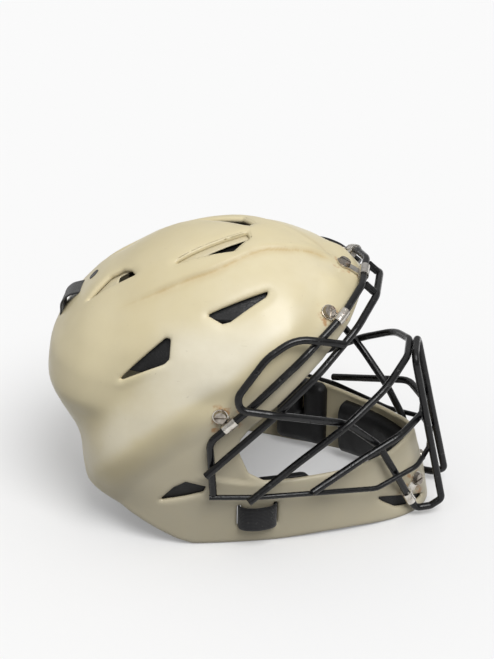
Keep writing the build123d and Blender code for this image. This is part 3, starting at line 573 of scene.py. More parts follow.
class Sheet:
    """A triangle sheet that carries, for each point, its normal and its distance from an edge."""

    def __init__(self, points, normals, triangles, field):
        self.points = points
        self.normals = normals
        self.triangles = triangles
        self.field = field
        self.value = field(points)

    def snap(self, level, reach):
        """Moves points that lie close to a level onto it, along the sheet."""
        near = np.nonzero(abs(self.value - level) < reach)[0]
        if not len(near):
            return
        p, n, v = self.points[near], self.normals[near], self.value[near]
        helper = np.where(abs(n[:, 2:]) < upright, [[0, 0, 1.0]], [[1.0, 0, 0]])
        first = unit(np.cross(n, helper))
        second = np.cross(n, first)
        step = reach / 4
        slopes = [(self.field(p + d * step) - self.field(p - d * step)) / (2 * step) for d in (first, second)]
        slopes = [np.where(np.isfinite(s), s, 0) for s in slopes]
        shift = (level - v) / np.maximum(slopes[0] ** 2 + slopes[1] ** 2, least_slope)
        self.points[near] = p + first * (shift * slopes[0])[:, None] + second * (shift * slopes[1])[:, None]
        self.value[near] = level

    def split(self, level):
        """Adds points where edges cross a level, so that it runs along edges."""
        side = np.sign(self.value - level)
        side[abs(self.value - level) < tiny] = 0
        tri_side = side[self.triangles]
        mixed = (tri_side.max(1) > 0) & (tri_side.min(1) < 0)
        kept = [self.triangles[~mixed]]
        added_points, added_normals, added_values, middle = [], [], [], {}
        count = len(self.points)

        def crossing(a, b):
            key = (min(a, b), max(a, b))
            if key not in middle:
                va, vb = self.value[a] - level, self.value[b] - level
                t = va / (va - vb)
                middle[key] = count + len(added_points)
                added_points.append(self.points[a] * (1 - t) + self.points[b] * t)
                added_normals.append(unit(self.normals[a] * (1 - t) + self.normals[b] * t))
                added_values.append(level)
            return middle[key]

        new = []
        for tri in self.triangles[mixed]:
            s = side[tri]
            if (s == 0).any():
                k = int(np.nonzero(s == 0)[0][0])
                a, b, c = tri[k], tri[(k + 1) % 3], tri[(k + 2) % 3]
                m = crossing(b, c)
                new += [(a, b, m), (a, m, c)]
            else:
                k = int(np.nonzero(s == -np.sign(s.sum()))[0][0])
                a, b, c = tri[k], tri[(k + 1) % 3], tri[(k + 2) % 3]
                m, n = crossing(a, b), crossing(a, c)
                new += [(a, m, n), (m, b, c), (m, c, n)]
        if new:
            kept.append(np.array(new))
        self.triangles = np.concatenate(kept)
        if added_points:
            self.points = np.concatenate([self.points, added_points])
            self.normals = np.concatenate([self.normals, added_normals])
            self.value = np.concatenate([self.value, added_values])

    def trim(self):
        """Drops what lies below zero, and the points that nothing uses."""
        low = self.value[self.triangles].min(1)
        high = self.value[self.triangles].max(1)
        self.triangles = self.triangles[(low > -tiny) & (high > tiny)]
        used, index = np.unique(self.triangles, return_inverse=True)
        self.triangles = index.reshape(-1, 3)
        self.points, self.normals, self.value = self.points[used], self.normals[used], self.value[used]


def cut_sheet(points, normals, triangles, field, step):
    """A sheet cut at a field's zero, with rows of points close to the edge for its rounding."""
    sheet = Sheet(points.copy(), normals.copy(), triangles, field)
    reaches = (snap_share * step, lip_snaps[0], lip_snaps[1])
    for level, reach in zip((lip_radius, lip_row, 0), reaches):
        sheet.snap(level, reach)
        sheet.split(level)
    sheet.trim()
    return sheet


def closed_faces(triangles, count):
    """Faces of a closed form: the triangles, the same on a second layer, and the rim between them."""
    faces = [tuple(tri) for tri in triangles.tolist()]
    edges = {}
    for a, b, c in faces:
        for edge in ((a, b), (b, c), (c, a)):
            if edges.pop(edge[::-1], None) is None:
                edges[edge] = True
    back = [(c + count, b + count, a + count) for a, b, c in faces]
    return faces + back + [(b, a, a + count, b + count) for a, b in edges]


def thicken(sheet, wall, radius):
    """Points and faces of a wall whose outer face is the sheet, with rounded edges."""
    depth = np.clip(sheet.value, 0, radius)
    drop = radius - np.sqrt(np.maximum(radius ** 2 - (radius - depth) ** 2, 0))
    outer = sheet.points - sheet.normals * drop[:, None]
    inner = sheet.points - sheet.normals * (wall - drop)[:, None]
    return np.concatenate([outer, inner]), closed_faces(sheet.triangles, len(outer))


def piece(name, points, faces, material, body, replaced=(), masks=None):
    """A smooth mesh object from points in the datum frame, riding on a body."""
    mesh = bpy.data.meshes.new(name)
    shifted = np.array(points, float) + (datum_x, 0, 0)
    mesh.from_pydata(shifted.tolist(), [], faces)
    for mask, values in (masks or {}).items():
        attribute = mesh.attributes.new(mask, "FLOAT", "POINT")
        attribute.data.foreach_set("value", np.asarray(values, np.float32))
    mesh.update()
    mesh.polygons.foreach_set("use_smooth", [True] * len(mesh.polygons))
    obj = bpy.data.objects.new(name, mesh)
    bpy.context.scene.collection.objects.link(obj)
    obj.data.materials.append(material)
    if body:
        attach(obj, body)
    if replaced:
        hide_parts(*replaced)
    return obj


# Colours
bone_warm = (0.69, 0.610, 0.400, 1)
bone_deep = (0.63, 0.545, 0.335, 1)
# The third bone tone is painted light on the side band; the fourth is painted shade under the fold
bone_painted_light = (0.82, 0.765, 0.610, 1)
bone_shaded = (0.530, 0.480, 0.355, 1)
bone_mottled = (0.60, 0.520, 0.345, 1)
bone_scuffed = (0.52, 0.44, 0.28, 1)
bone_spotted = (0.42, 0.35, 0.24, 1)
dirt_brown = (0.50, 0.355, 0.155, 1)
rust_orange = (0.44, 0.20, 0.06, 1)
rust_dark = (0.13, 0.065, 0.035, 1)
vinyl_black = (0.0035, 0.0035, 0.004, 1)
vinyl_rubbed = (0.010, 0.010, 0.0105, 1)
vinyl_nicked = (0.08, 0.078, 0.073, 1)
nickel_bright = (0.74, 0.71, 0.66, 1)
nickel_dull = (0.52, 0.48, 0.42, 1)
steel_bright = (0.48, 0.44, 0.39, 1)
steel_dull = (0.22, 0.19, 0.16, 1)
foam_black = (0.004, 0.004, 0.0045, 1)
foam_dusty = (0.015, 0.015, 0.016, 1)
cloth_black = (0.010, 0.010, 0.011, 1)
cloth_raised = (0.045, 0.045, 0.047, 1)
lint_grey = (0.16, 0.155, 0.145, 1)
moulded_black = (0.022, 0.022, 0.024, 1)
moulded_dusty = (0.05, 0.05, 0.052, 1)

# Directions of the fine scratches, how far they are drawn out, and how soft their sides are
scratch_turns = ((0.3, 0.9, 0.2), (1.1, 0.2, 0.8))
scratch_stretch = (1.0, 14.0, 14.0)
scratch_softness = 0.03


# Materials

class Tree:
    """Short calls for building a material's or a group's nodes."""

    def __init__(self, tree):
        self.tree = tree

    def node(self, kind, settings=None, **sockets):
        node = self.tree.nodes.new(kind)
        for key, value in (settings or {}).items():
            setattr(node, key, value)
        for key, value in sockets.items():
            self.put(node.inputs[key.replace("_", " ")], value)
        return node

    def put(self, socket, value):
        if isinstance(value, bpy.types.NodeSocket):
            self.tree.links.new(value, socket)
        else:
            socket.default_value = value

    def place(self):
        return self.node("ShaderNodeTexCoord").outputs["Object"]

    def noise(self, place, scale, detail=4.0, roughness=0.55):
        return self.node("ShaderNodeTexNoise", Vector=place, Scale=scale, Detail=detail,
                         Roughness=roughness).outputs["Fac"]

    def ramp(self, value, low=0.0, high=1.0, out_low=0.0, out_high=1.0):
        node = self.node("ShaderNodeMapRange", {"interpolation_type": "SMOOTHSTEP"}, Value=value,
                         From_Min=low, From_Max=high, To_Min=out_low, To_Max=out_high)
        return node.outputs["Result"]

    def patches(self, place, scale, low=0.3, high=0.7, out_low=0.0, out_high=1.0, detail=4.0):
        """Noise, stretched from a low and a high value to two others."""
        return self.ramp(self.noise(place, scale, detail), low, high, out_low, out_high)

    def math(self, operation, a, b):
        node = self.node("ShaderNodeMath", {"operation": operation})
        self.put(node.inputs[0], a)
        self.put(node.inputs[1], b)
        return node.outputs[0]

    def times(self, a, b):
        return self.math("MULTIPLY", a, b)

    def plus(self, a, b):
        return self.math("ADD", a, b)

    def minus(self, a, b):
        return self.math("SUBTRACT", a, b)

    def mix(self, factor, a, b):
        node = self.node("ShaderNodeMix", {"data_type": "RGBA"})
        for index, value in ((0, factor), (6, a), (7, b)):
            self.put(node.inputs[index], value)
        return node.outputs[2]

    def layers(self, tone, *covers):
        """A colour with others laid over it, each with its amount."""
        for amount, colour in covers:
            tone = self.mix(amount, tone, colour)
        return tone

    def mask(self, name):
        return self.node("ShaderNodeAttribute", {"attribute_name": name}).outputs["Fac"]

    def use(self, name, **sockets):
        return self.node("ShaderNodeGroup", {"node_tree": groups[name]}, **sockets).outputs[0]


def new_group(name, inputs):
    """A node group with number inputs and one mask that it puts out."""
    group = bpy.data.node_groups.new(name, "ShaderNodeTree")
    for label, value in inputs.items():
        socket = group.interface.new_socket(label, in_out="INPUT", socket_type="NodeSocketFloat")
        socket.default_value = value
    group.interface.new_socket("Mask", in_out="OUTPUT", socket_type="NodeSocketFloat")
    tree = Tree(group)
    return group, tree, tree.node("NodeGroupInput").outputs, tree.node("NodeGroupOutput").inputs["Mask"]


def make_speckle():
    """Patches and specks, as a mask: more coverage gives more of them."""
    group, tree, given, mask = new_group("speckle", {"Scale": 60.0, "Coverage": 0.4, "Softness": 0.08})
    noise = tree.noise(tree.place(), given["Scale"], detail=6.0, roughness=0.62)
    edge = tree.minus(1.0, given["Coverage"])
    tree.put(mask, tree.ramp(noise, tree.minus(edge, given["Softness"]), tree.plus(edge, given["Softness"])))
    return group


def make_scratches():
    """Thin scuff lines in two directions, as a mask."""
    group, tree, given, mask = new_group("scratches", {"Scale": 30.0, "Coverage": 0.3})
    place = tree.place()
    lines = []
    for turn in scratch_turns:
        mapping = tree.node("ShaderNodeMapping", Vector=place, Rotation=turn, Scale=scratch_stretch)
        noise = tree.noise(mapping.outputs["Vector"], given["Scale"], detail=3.0, roughness=0.5)
        edge = tree.minus(1.0, given["Coverage"])
        lines.append(tree.ramp(noise, edge, tree.plus(edge, scratch_softness)))
    tree.put(mask, tree.math("MAXIMUM", *lines))
    return group


groups = {"speckle": make_speckle(), "scratches": make_scratches()}


def new_material(name, **sockets):
    material = bpy.data.materials.new(name)
    material.use_nodes = True
    tree = Tree(material.node_tree)
    shader = material.node_tree.nodes["Principled BSDF"]
    for key, value in sockets.items():
        tree.put(shader.inputs[key.replace("_", " ")], value)
    return material, tree, shader.inputs


def surface(tree, shader, colour, roughness, height, strength, depth):
    """Gives a material its colour, its roughness and its bumps."""
    bump = tree.node("ShaderNodeBump", Height=height, Strength=strength, Distance=depth)
    tree.put(shader["Base Color"], colour)
    tree.put(shader["Roughness"], roughness)
    tree.put(shader["Normal"], bump.outputs["Normal"])


def shell_material():
    """Aged bone plastic: dirt in the creases, rust marks by the clips, scuffs and fine grain, with painted
    light on the side band above the fold and painted shade under the fold.
    """
    material, tree, shader = new_material("bone_plastic", Specular_IOR_Level=0.45)
    place = tree.place()
    # Painted light on the side band and painted shade under the fold, from the shell's mask, with random
    # patches in the light
    painted_light_and_shade = tree.plus(tree.mask("painted_light_and_shade"), tree.patches(place, 14.0, out_low=-0.25, out_high=0.15))
    dirt = tree.times(tree.mask("dirt"), tree.patches(place, 90.0, low=0.18, high=0.62, detail=5.0))
    rust = tree.times(tree.mask("rust"), tree.patches(place, 160.0, low=0.50, high=0.66, detail=5.0))
    scuff = tree.times(tree.use("scratches", Scale=26.0, Coverage=0.27), 0.30)
    spots = tree.use("speckle", Scale=210.0, Coverage=0.30, Softness=0.02)
    tone = tree.layers(
        bone_warm, (tree.patches(place, 9.0, low=0.35), bone_deep), (tree.ramp(painted_light_and_shade), bone_painted_light),
        (tree.ramp(tree.mask("painted_light_and_shade"), high=-1.0), bone_shaded),
        (tree.times(tree.patches(place, 55.0, high=0.75, detail=6.0), 0.22), bone_mottled),
        (tree.times(dirt, 0.75), dirt_brown), (tree.times(rust, 0.75), rust_orange), (scuff, bone_scuffed),
        (tree.times(spots, 0.30), bone_spotted))
    roughness = tree.plus(tree.patches(place, 38.0, out_low=0.30, out_high=0.46, detail=5.0),
                          tree.times(dirt, 0.25))
    grain = tree.times(tree.noise(place, 900.0, detail=2.0), 0.15)
    waves = tree.times(tree.noise(place, 22.0, detail=2.0), 2.0)
    height = tree.minus(tree.plus(grain, waves), tree.times(scuff, 0.5))
    surface(tree, shader, tone, roughness, height, strength=0.25, depth=0.0006)
    return material


def wire_material():
    """Black vinyl dip, rubbed grey and nicked."""
    material, tree, shader = new_material("vinyl_dip", Specular_IOR_Level=0.38)
    rubbed = tree.use("speckle", Scale=70.0, Coverage=0.42, Softness=0.10)
    nicked = tree.use("speckle", Scale=330.0, Coverage=0.36, Softness=0.03)
    tone = tree.layers(vinyl_black, (tree.times(rubbed, 0.6), vinyl_rubbed),
                       (tree.times(nicked, 0.35), vinyl_nicked))
    height = tree.plus(tree.noise(tree.place(), 140.0, detail=3.0), tree.times(nicked, -0.6))
    surface(tree, shader, tone, tree.plus(0.20, tree.times(rubbed, 0.22)), height, strength=0.35,
            depth=0.0007)
    return material


def plated_material(name, bright, dull, rust_coverage, roughness):
    """Metal with tarnish and rust that breaks through."""
    material, tree, shader = new_material(name, Metallic=1.0)
    place = tree.place()
    rust = tree.use("speckle", Scale=240.0, Coverage=rust_coverage, Softness=0.06)
    tone = tree.layers(bright, (tree.patches(place, 190.0, detail=5.0), dull), (rust, rust_dark))
    tree.put(shader["Metallic"], tree.minus(1.0, rust))
    height = tree.plus(tree.noise(place, 600.0, detail=3.0), tree.times(rust, 1.2))
    surface(tree, shader, tone, tree.plus(roughness, tree.times(rust, 0.45)), height, strength=0.4,
            depth=0.0003)
    return material


def foam_material():
    """Black vinyl skin over foam, with a fine leather-like grain."""
    material, tree, shader = new_material("vinyl_foam", Specular_IOR_Level=0.4)
    place = tree.place()
    cells = tree.node("ShaderNodeTexVoronoi", {"feature": "DISTANCE_TO_EDGE"}, Vector=place, Scale=520.0)
    dust = tree.times(tree.use("speckle", Scale=90.0, Coverage=0.40, Softness=0.12), 0.5)
    surface(tree, shader, tree.mix(dust, foam_black, foam_dusty),
            tree.patches(place, 60.0, out_low=0.38, out_high=0.58),
            tree.ramp(cells.outputs["Distance"], high=0.12), strength=0.5, depth=0.00025)
    return material


def webbing_material():
    """Black woven webbing: ribs across, picks along, a little lint."""
    material, tree, shader = new_material("webbing", Specular_IOR_Level=0.25, Sheen_Weight=0.3,
                                          Sheen_Roughness=0.5)
    cloth = tree.node("ShaderNodeUVMap", {"uv_map": "weave"}).outputs["UV"]
    waves = [tree.node("ShaderNodeTexWave", {"bands_direction": axis}, Vector=cloth, Scale=scale,
                       Distortion=0.4).outputs["Fac"] for axis, scale in (("X", 260.0), ("Y", 330.0))]
    weave = tree.times(*waves)
    lint = tree.use("speckle", Scale=400.0, Coverage=0.36, Softness=0.04)
    tone = tree.layers(cloth_black, (tree.times(weave, 0.8), cloth_raised),
                       (tree.times(lint, 0.35), lint_grey))
    surface(tree, shader, tone, tree.ramp(weave, out_low=0.9, out_high=0.72), weave, strength=0.8,
            depth=0.0003)
    return material


def knob_material():
    """Matt black moulded plastic."""
    material, tree, shader = new_material("moulded_black", Specular_IOR_Level=0.4)
    place = tree.place()
    dust = tree.use("speckle", Scale=150.0, Coverage=0.4, Softness=0.1)
    surface(tree, shader, tree.mix(dust, moulded_black, moulded_dusty),
            tree.patches(place, 90.0, out_low=0.42, out_high=0.6), tree.noise(place, 700.0, detail=2.0),
            strength=0.3, depth=0.0003)
    return material


shell_finish = shell_material()
wire_finish = wire_material()
clip_finish = plated_material("worn_nickel", nickel_bright, nickel_dull, rust_coverage=0.34, roughness=0.20)
screw_finish = plated_material("worn_steel", steel_bright, steel_dull, rust_coverage=0.38, roughness=0.26)
foam_finish = foam_material()
webbing_finish = webbing_material()
knob_finish = knob_material()


# Shell

def skin_grid():
    """Rows of points round the helmet, evenly spaced along it, from under the floor to the crown."""
    heights = np.linspace(grid_start_share, level_shares[-1, 0], fine_rows)
    rear, half = level_sizes(heights * shell_height)[1:3]
    steps = np.hypot(np.diff(heights * shell_height), np.maximum(abs(np.diff(half)), abs(np.diff(rear))))
    climb = summed(steps)
    rows = np.interp(np.linspace(0, climb[-1], int(climb[-1] / grid_step) + 1), climb, heights)
    turn = np.linspace(0, np.pi, fine_columns)
    c, s = np.cos(turn), np.sin(turn)
    grid = []
    for z in rows * shell_height:
        front, rear, half, widest, n, m, q = [size[0] for size in level_sizes([z])]
        x = widest + np.where(c >= 0, (front - widest) * abs(c) ** (2 / n),
                              (rear - widest) * abs(c) ** (2 / q))
        y = half * np.where(c >= 0, abs(s) ** (2 / m), abs(s) ** (2 / q))
        run = summed(np.hypot(np.diff(x), np.diff(y)))
        even = np.linspace(0, run[-1], columns // 2 + 1)
        x, y = np.interp(even, run, x), np.interp(even, run, y)
        x = np.concatenate([x, x[-2:0:-1]])
        y = np.concatenate([y, -y[-2:0:-1]])
        grid.append(np.stack([x, y, np.full(x.shape, z)], -1))
    return np.array(grid)


def crease_line(x, line, size):
    """Height or width of a crease at lengths, and how steep it runs there."""
    places, values = (np.array(line)[np.argsort(np.array(line)[:, 0])] * (shell_length, size)).T
    return hermite(places, values, np.gradient(values, places), x)


def crease_gap(x, z, line, size):
    """How far points lie under a crease, or over it where the gap is negative."""
    rear, front = crease_rear_share * shell_length, line[0][0] * shell_length + crease_overrun
    xs = np.linspace(rear, front, crease_steps)
    route = np.stack([xs, crease_line(xs, line, size)[0]], -1)
    nearest = np.full(x.shape, np.inf)
    for a, b in zip(route[:-1], route[1:]):
        nearest = np.minimum(nearest, line_gap(x, z, a, b))
    return np.where(crease_line(x, line, size)[0] > z, nearest, -nearest)


def clip_gap(points):
    """Distance of points from the nearest cage clip."""
    nearest = np.full(points.shape[:-1], np.inf)
    shifted = points + (datum_x, 0, 0)
    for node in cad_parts:
        if node.startswith("clip_") and node not in ("clip_nuts", "clip_screws"):
            low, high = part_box(node)
            gap = np.maximum(np.maximum(np.array(low) - shifted, shifted - np.array(high)), 0)
            nearest = np.minimum(nearest, np.linalg.norm(gap, axis=-1))
    return nearest


def fold_lift(x, below, behind):
    """How far the long fold lifts the skin above it and sinks it below, with the waist behind."""
    front = fade(x, fold_line_shares[0][0] * shell_length + fold_front, -fold_front_fade)
    above = fold_softness * np.log1p(np.exp(np.clip(-below / fold_softness, -exponent_limit, exponent_limit)))
    drop = smoothstep(below / fold_drop)
    recover = np.exp(-np.maximum(below - fold_drop, 0) / fold_reach)
    rise = (fold_rise + fold_rise_behind * behind) * np.exp(-above / fold_climb) * (1 - drop)
    return (front * (rise - fold_depth * drop * recover)
            - behind ** 2 * waist_depth * bell(above - waist_place, waist_width))


def painted_light_share(x, z, outside, below, behind):
    """Painted light on the shell, paler between the panel line and the fold towards the front; under nought,
    painted shade under the fold.
    """
    painted_light_and_shade = fade(outside, *painted_light_panel_fade) * fade(below, *painted_light_fold_fade)
    rear = painted_light_rear_share + painted_light_rear_more_share * fade(below, *painted_light_near_fade)
    painted_light_and_shade *= fade(x, -rear * shell_length, painted_light_rear_fade)
    painted_light_and_shade *= 1 - painted_light_crown_loss * fade(z / shell_height, *painted_light_crown_shares)
    painted_light_and_shade *= 1 - painted_light_behind_loss * behind
    return painted_light_and_shade - shade_depth * fade(below, *shade_fade)


def relief(points):
    """How far the shell's creases lift or sink the skin, where dirt gathers, and where light and shade are
    painted.
    """
    x, y, z = points[..., 0], abs(points[..., 1]), points[..., 2]
    below = crease_gap(x, z, fold_line_shares, shell_height)
    behind = fade(x, 0, -fold_behind_share * shell_length)
    lift = fold_lift(x, below, behind) * smoothstep(clip_gap(points) / clip_clearance)
    panel_y, slope = crease_line(x, panel_line_shares, shell_width)
    outside = (y - panel_y) / np.sqrt(1 + slope ** 2)
    reach = (fade(z, panel_floor_share * shell_height, panel_floor_fade)
             * fade(x, panel_line_shares[-1][0] * shell_length, panel_rear_fade)
             * fade(x, panel_line_shares[0][0] * shell_length + panel_front, -panel_front_fade))
    lift += reach * panel_lip * bell(outside + panel_lip_share * panel_width, panel_width)
    step = smoothstep(outside / panel_width + 0.5)
    lift -= reach * panel_rise * step * np.exp(-np.maximum(outside, 0) / panel_reach)
    dirt = reach * np.maximum(bell(outside - dirt_line_share * panel_width, dirt_line_width),
                              dirt_haze * bell(outside - dirt_haze_share * panel_width, dirt_haze_width))
    shelf_z, slope = crease_line(x, shelf_line_shares, shell_height)
    under = (shelf_z - z) / np.sqrt(1 + slope ** 2)
    along = (fade(x, shelf_line_shares[0][0] * shell_length, shelf_rear_fade)
             * fade(x, shelf_line_shares[-1][0] * shell_length + shelf_front_fade, -shelf_front_fade))
    step = smoothstep(under / shelf_width + 0.5)
    lift += along * shelf_rise * step * np.exp(-np.maximum(under, 0) / shelf_reach)
    return lift, dirt, painted_light_share(x, z, outside, below, behind)


def rear_swell(points):
    """How far the wall stands out behind, where the strap passes under it."""
    behind = fade(points[..., 0] / shell_length, *swell_behind_shares)
    level = points[..., 2] / shell_height
    return swell_rise * behind * fade(level, *swell_foot_shares) * (1 - fade(level, *swell_top_shares))


def make_ledges():
    """Points and faces of the ledges in the crown vents, on both sides."""
    parts = []
    for name, (start, end) in ledge_line_shares.items():
        outline = np.array(vent_shares[name])[:, :2] * shell_size[:2]
        middle = (outline.min(0) + outline.max(0)) / 2
        size = (outline.max(0) - outline.min(0)) / 2 + 2 * ledge_margin
        start = np.array(start) * shell_size[:2]
        along = unit(np.array(end) * shell_size[:2] - start)

        def field(points):
            x, y = points[:, 0] + middle[0], points[:, 1] + middle[1]
            covered = (y - start[1]) * along[0] - (x - start[0]) * along[1]
            inside = ledge_margin - outline_distance(x, y, outline)
            return np.minimum(inside, np.maximum(covered, start[0] - x))

        sheet = pattern(*size, field, ledge_step)
        skin, sheet.normals, _ = laid(top_wall(middle), sheet.points[:, 0], sheet.points[:, 1], outward=True)
        sheet.points = skin + (rear_swell(skin) - ledge_depth)[:, None] * sheet.normals
        points, faces = thicken(sheet, ledge_wall, ledge_lip)
        parts.append((points, faces))
        parts.append((points * (1, -1, 1), [tuple(reversed(face)) for face in faces]))
    return parts


def make_shell():
    grid = skin_grid()
    rows, cols = grid.shape[:2]
    wrapped = np.concatenate([grid[:, -2:], grid, grid[:, :2]], axis=1)
    normals = unit(np.cross(np.gradient(wrapped, axis=1), np.gradient(wrapped, axis=0)))
    normals = np.concatenate([normals[:, 2:-2].reshape(-1, 3), [(0, 0, 1.0)]])
    points = np.concatenate([grid.reshape(-1, 3), [(crown_share * shell_length, 0, shell_height)]])
    last, crown = (rows - 1) * cols, rows * cols
    cap = [(last + j, last + (j + 1) % cols, crown) for j in range(cols)]
    triangles = np.concatenate([grid_triangles(rows, cols, True), cap])
    sheet = cut_sheet(points, normals, triangles, shell_field, grid_step)
    lift, dirt, painted_light_and_shade = relief(sheet.points)
    behind = fade(sheet.points[:, 0] / shell_length, *edge_behind_shares)
    lift = lift * np.maximum(fade(sheet.value, *edge_fade), behind) + rear_swell(sheet.points)
    lift -= vent_lip_drop * bell(np.maximum(sheet.value, 0), vent_lip_width)
    rust = bell(clip_gap(sheet.points), rust_width)
    sheet.points = sheet.points + sheet.normals * lift[:, None]
    points, faces = thicken(sheet, shell_wall, lip_radius)
    points[:, 2] = np.maximum(points[:, 2], 0)
    for extra, extra_faces in make_ledges():
        faces += [tuple(k + len(points) for k in face) for face in extra_faces]
        points = np.concatenate([points, extra])
    # The inner face and the ledges carry painted shade
    spare = np.zeros(len(points) - len(dirt))
    masks = {"dirt": np.concatenate([dirt, spare]), "rust": np.concatenate([rust, spare]),
             "painted_light_and_shade": np.concatenate([painted_light_and_shade, spare - ledge_shade])}
    piece("shell_skin", points, faces, shell_finish, "helmet", ["shell"], masks)


# Pads, on a flat pattern that is laid on the wall

def pattern(half_length, half_height, field, step):
    """A flat sheet over a rectangle, cut to an outline."""
    across = np.linspace(-half_length, half_length, int(2 * half_length / step) + 2)
    up = np.linspace(-half_height, half_height, int(2 * half_height / step) + 2)
    u, v = np.meshgrid(across, up)
    points = np.stack([u, v, np.zeros(u.shape)], -1).reshape(-1, 3)
    normals = np.tile((0.0, 0.0, 1.0), (len(points), 1))
    return cut_sheet(points, normals, grid_triangles(len(up), len(across), False), field, step)


def rounded_box(u, v, half_length, half_height, corner):
    """Distance from the edge of a rectangle with rounded corners, positive inside."""
    a = np.maximum(abs(u) - half_length + corner, 0)
    b = np.maximum(abs(v) - half_height + corner, 0)
    inner = np.minimum(np.maximum(abs(u) - half_length, abs(v) - half_height) + corner, 0)
    return corner - np.hypot(a, b) - inner


def soft_pad(name, wall, length, height, corner, channels, thickness=pad_thickness, slots=(), body="helmet"):
    """A crowned cushion with rounded edges, a seam round it and sewn channels."""
    half_length, half_height = length / 2, height / 2

    def field(points):
        distance = rounded_box(points[:, 0], points[:, 1], half_length, half_height, corner)
        for u, v, width, rise in slots:
            hole = rounded_box(points[:, 0] - u, points[:, 1] - v, width / 2, rise / 2, pad_slot_corner)
            distance = np.minimum(distance, -hole)
        return distance

    sheet = pattern(half_length, half_height, field, pad_step)
    u, v = sheet.points[:, 0], sheet.points[:, 1]
    point, normal, turn = laid(wall, u, v)
    sink = np.maximum(-relief(point)[0], 0) * (body == "helmet")
    edge = np.minimum(sheet.value / pad_edge, 1)
    rise = thickness * (pad_edge_share + (1 - pad_edge_share) * np.sqrt(1 - (1 - edge) ** 2))
    rise *= 1 - pad_crown_share * (1 - smoothstep(sheet.value / min(half_length, half_height)))
    rise -= seam_depth * bell(sheet.value - seam_inset, seam_width)
    for channel in channels:
        gap = line_gap(u, v, channel[:2], channel[2:])
        rise -= channel_depth * bell(gap, channel_width) * edge
        rise += channel_depth * channel_lip_share * bell(gap - channel_lip_place, channel_width) * edge
    turns, sways = ripple_turns, ripple_sways
    ripple = np.sin(u * turns[0] + sways[0] * np.sin(v * turns[1]))
    ripple *= np.sin(v * turns[2] + sways[1] * np.sin(u * turns[3]))
    rise += pad_ripple * ripple * edge
    triangles = sheet.triangles if turn > 0 else sheet.triangles[:, ::-1]
    points = np.concatenate([point + normal * rise[:, None], point + normal * sink[:, None]])
    faces = closed_faces(triangles, len(point))
    piece(name + "_cover", points, faces, foam_finish, body, [name])


def forehead_wall(u, v):
    z = forehead_pad_share * shell_height + v
    return np.stack([end_x(u, z, wall_inset, behind=False), u, z], -1)


def chin_wall(u, v):
    """Round the chin: u runs along the U, v up it."""
    length, height = pads["chin_pad"][:2]
    z = chin_pad_lift + height / 2 + v
    limit = skin_y(np.full(u.shape, chin_pad_end_share * shell_length), z, wall_inset)
    y = limit * np.sin(np.clip(2 * u / length, -1, 1) * np.pi / 2)
    return np.stack([end_x(y, z, wall_inset, behind=False), y, z], -1)


def make_pads():
    soft_pad("forehead_pad", forehead_wall, *pads["forehead_pad"])
    crown_wall = top_wall((crown_pad_share * shell_length, 0), shell_wall + crown_pad_gap)
    soft_pad("crown_pad", crown_wall, *pads["crown_pad"])
    jaw_x, jaw_z = side_pad_shares["jaw_pad"]
    slot = ((pad_slot_shares[0] - jaw_x) * shell_length, (pad_slot_shares[1] - jaw_z) * shell_height,
            pad_slot_width, pad_slot_height)
    for side_name, side in sides:
        for kind, shares in side_pad_shares.items():
            wall = side_wall(side, (shares[0] * shell_length, shares[1] * shell_height), wall_inset)
            slots = [slot] if kind == "jaw_pad" else []
            soft_pad(kind + "_" + side_name, wall, *pads[kind], slots=slots)
    soft_pad("chin_pad", chin_wall, *pads["chin_pad"], thickness=chin_pad_thickness)


# Rear plate and its pad

def notch_half(z):
    """Half width of the rear notch at heights."""
    widths, heights = (np.array(notch_shares) * shell_size[1:]).T
    return np.interp(z, heights, widths)


def plate_outline(margin):
    """Width and height points round the rear plate, drawn in by a margin."""
    foot, top = plate_foot + margin, plate_top - margin
    side = []
    for level, breadth in plate_level_shares:
        z = foot + level * (top - foot)
        side.append((float(notch_half(z) - notch_gap - margin) * breadth, z))
    return np.array(side + [(-y, z) for y, z in reversed(side)])


def make_rear_plate():
    outline = plate_outline(0.0)
    middle = (plate_foot + plate_top) / 2

    def field(points):
        y, z = points[:, 0], points[:, 1] + middle
        distance = -outline_distance(y, z, outline)
        rise = np.maximum(abs(z - middle) - (plate_vent_height - plate_vent_width) / 2, 0)
        for end in (-1, 1):
            slot = np.hypot(rise, y - end * plate_vent_pitch / 2) - plate_vent_width / 2
            distance = np.minimum(distance, slot)
        return distance

    size = (outline[:, 0].max() + grid_step, (plate_top - plate_foot) / 2 + grid_step)
    sheet = pattern(*size, field, plate_step)
    y, z = sheet.points[:, 0], sheet.points[:, 1] + middle
    point, normal, turn = laid(rear_wall(plate_inset), y, z, outward=True)
    ridge = plate_ridge * (fade(sheet.value, *plate_ridge_fade) - 1)
    sheet.points = point + normal * (ridge + rear_swell(point))[:, None]
    sheet.normals = normal
    if turn < 0:
        sheet.triangles = sheet.triangles[:, ::-1]
    points, faces = thicken(sheet, plate_wall - plate_ridge, plate_lip)
    masks = {name: np.zeros(len(points)) for name in ("dirt", "rust", "painted_light_and_shade")}
    piece("rear_plate_skin", points, faces, shell_finish, "rear_plate", ["rear_plate"], masks)


def make_rear_pad():
    half_length = float(plate_outline(rear_pad_margin)[:, 0].max())
    low, high = plate_foot + rear_pad_margin + rear_pad_lift, plate_top - rear_pad_margin

    def wall(u, v):
        z = (low + high) / 2 + v
        y = u * (notch_half(z) - notch_gap - rear_pad_margin) / half_length
        return np.stack([end_x(y, z, plate_inset + plate_wall + pad_gap), y, z], -1)

    soft_pad("rear_pad", wall, 2 * half_length, high - low, rear_pad_corner, rear_pad_channels,
             rear_pad_thickness, body="rear_plate")


# Webbing

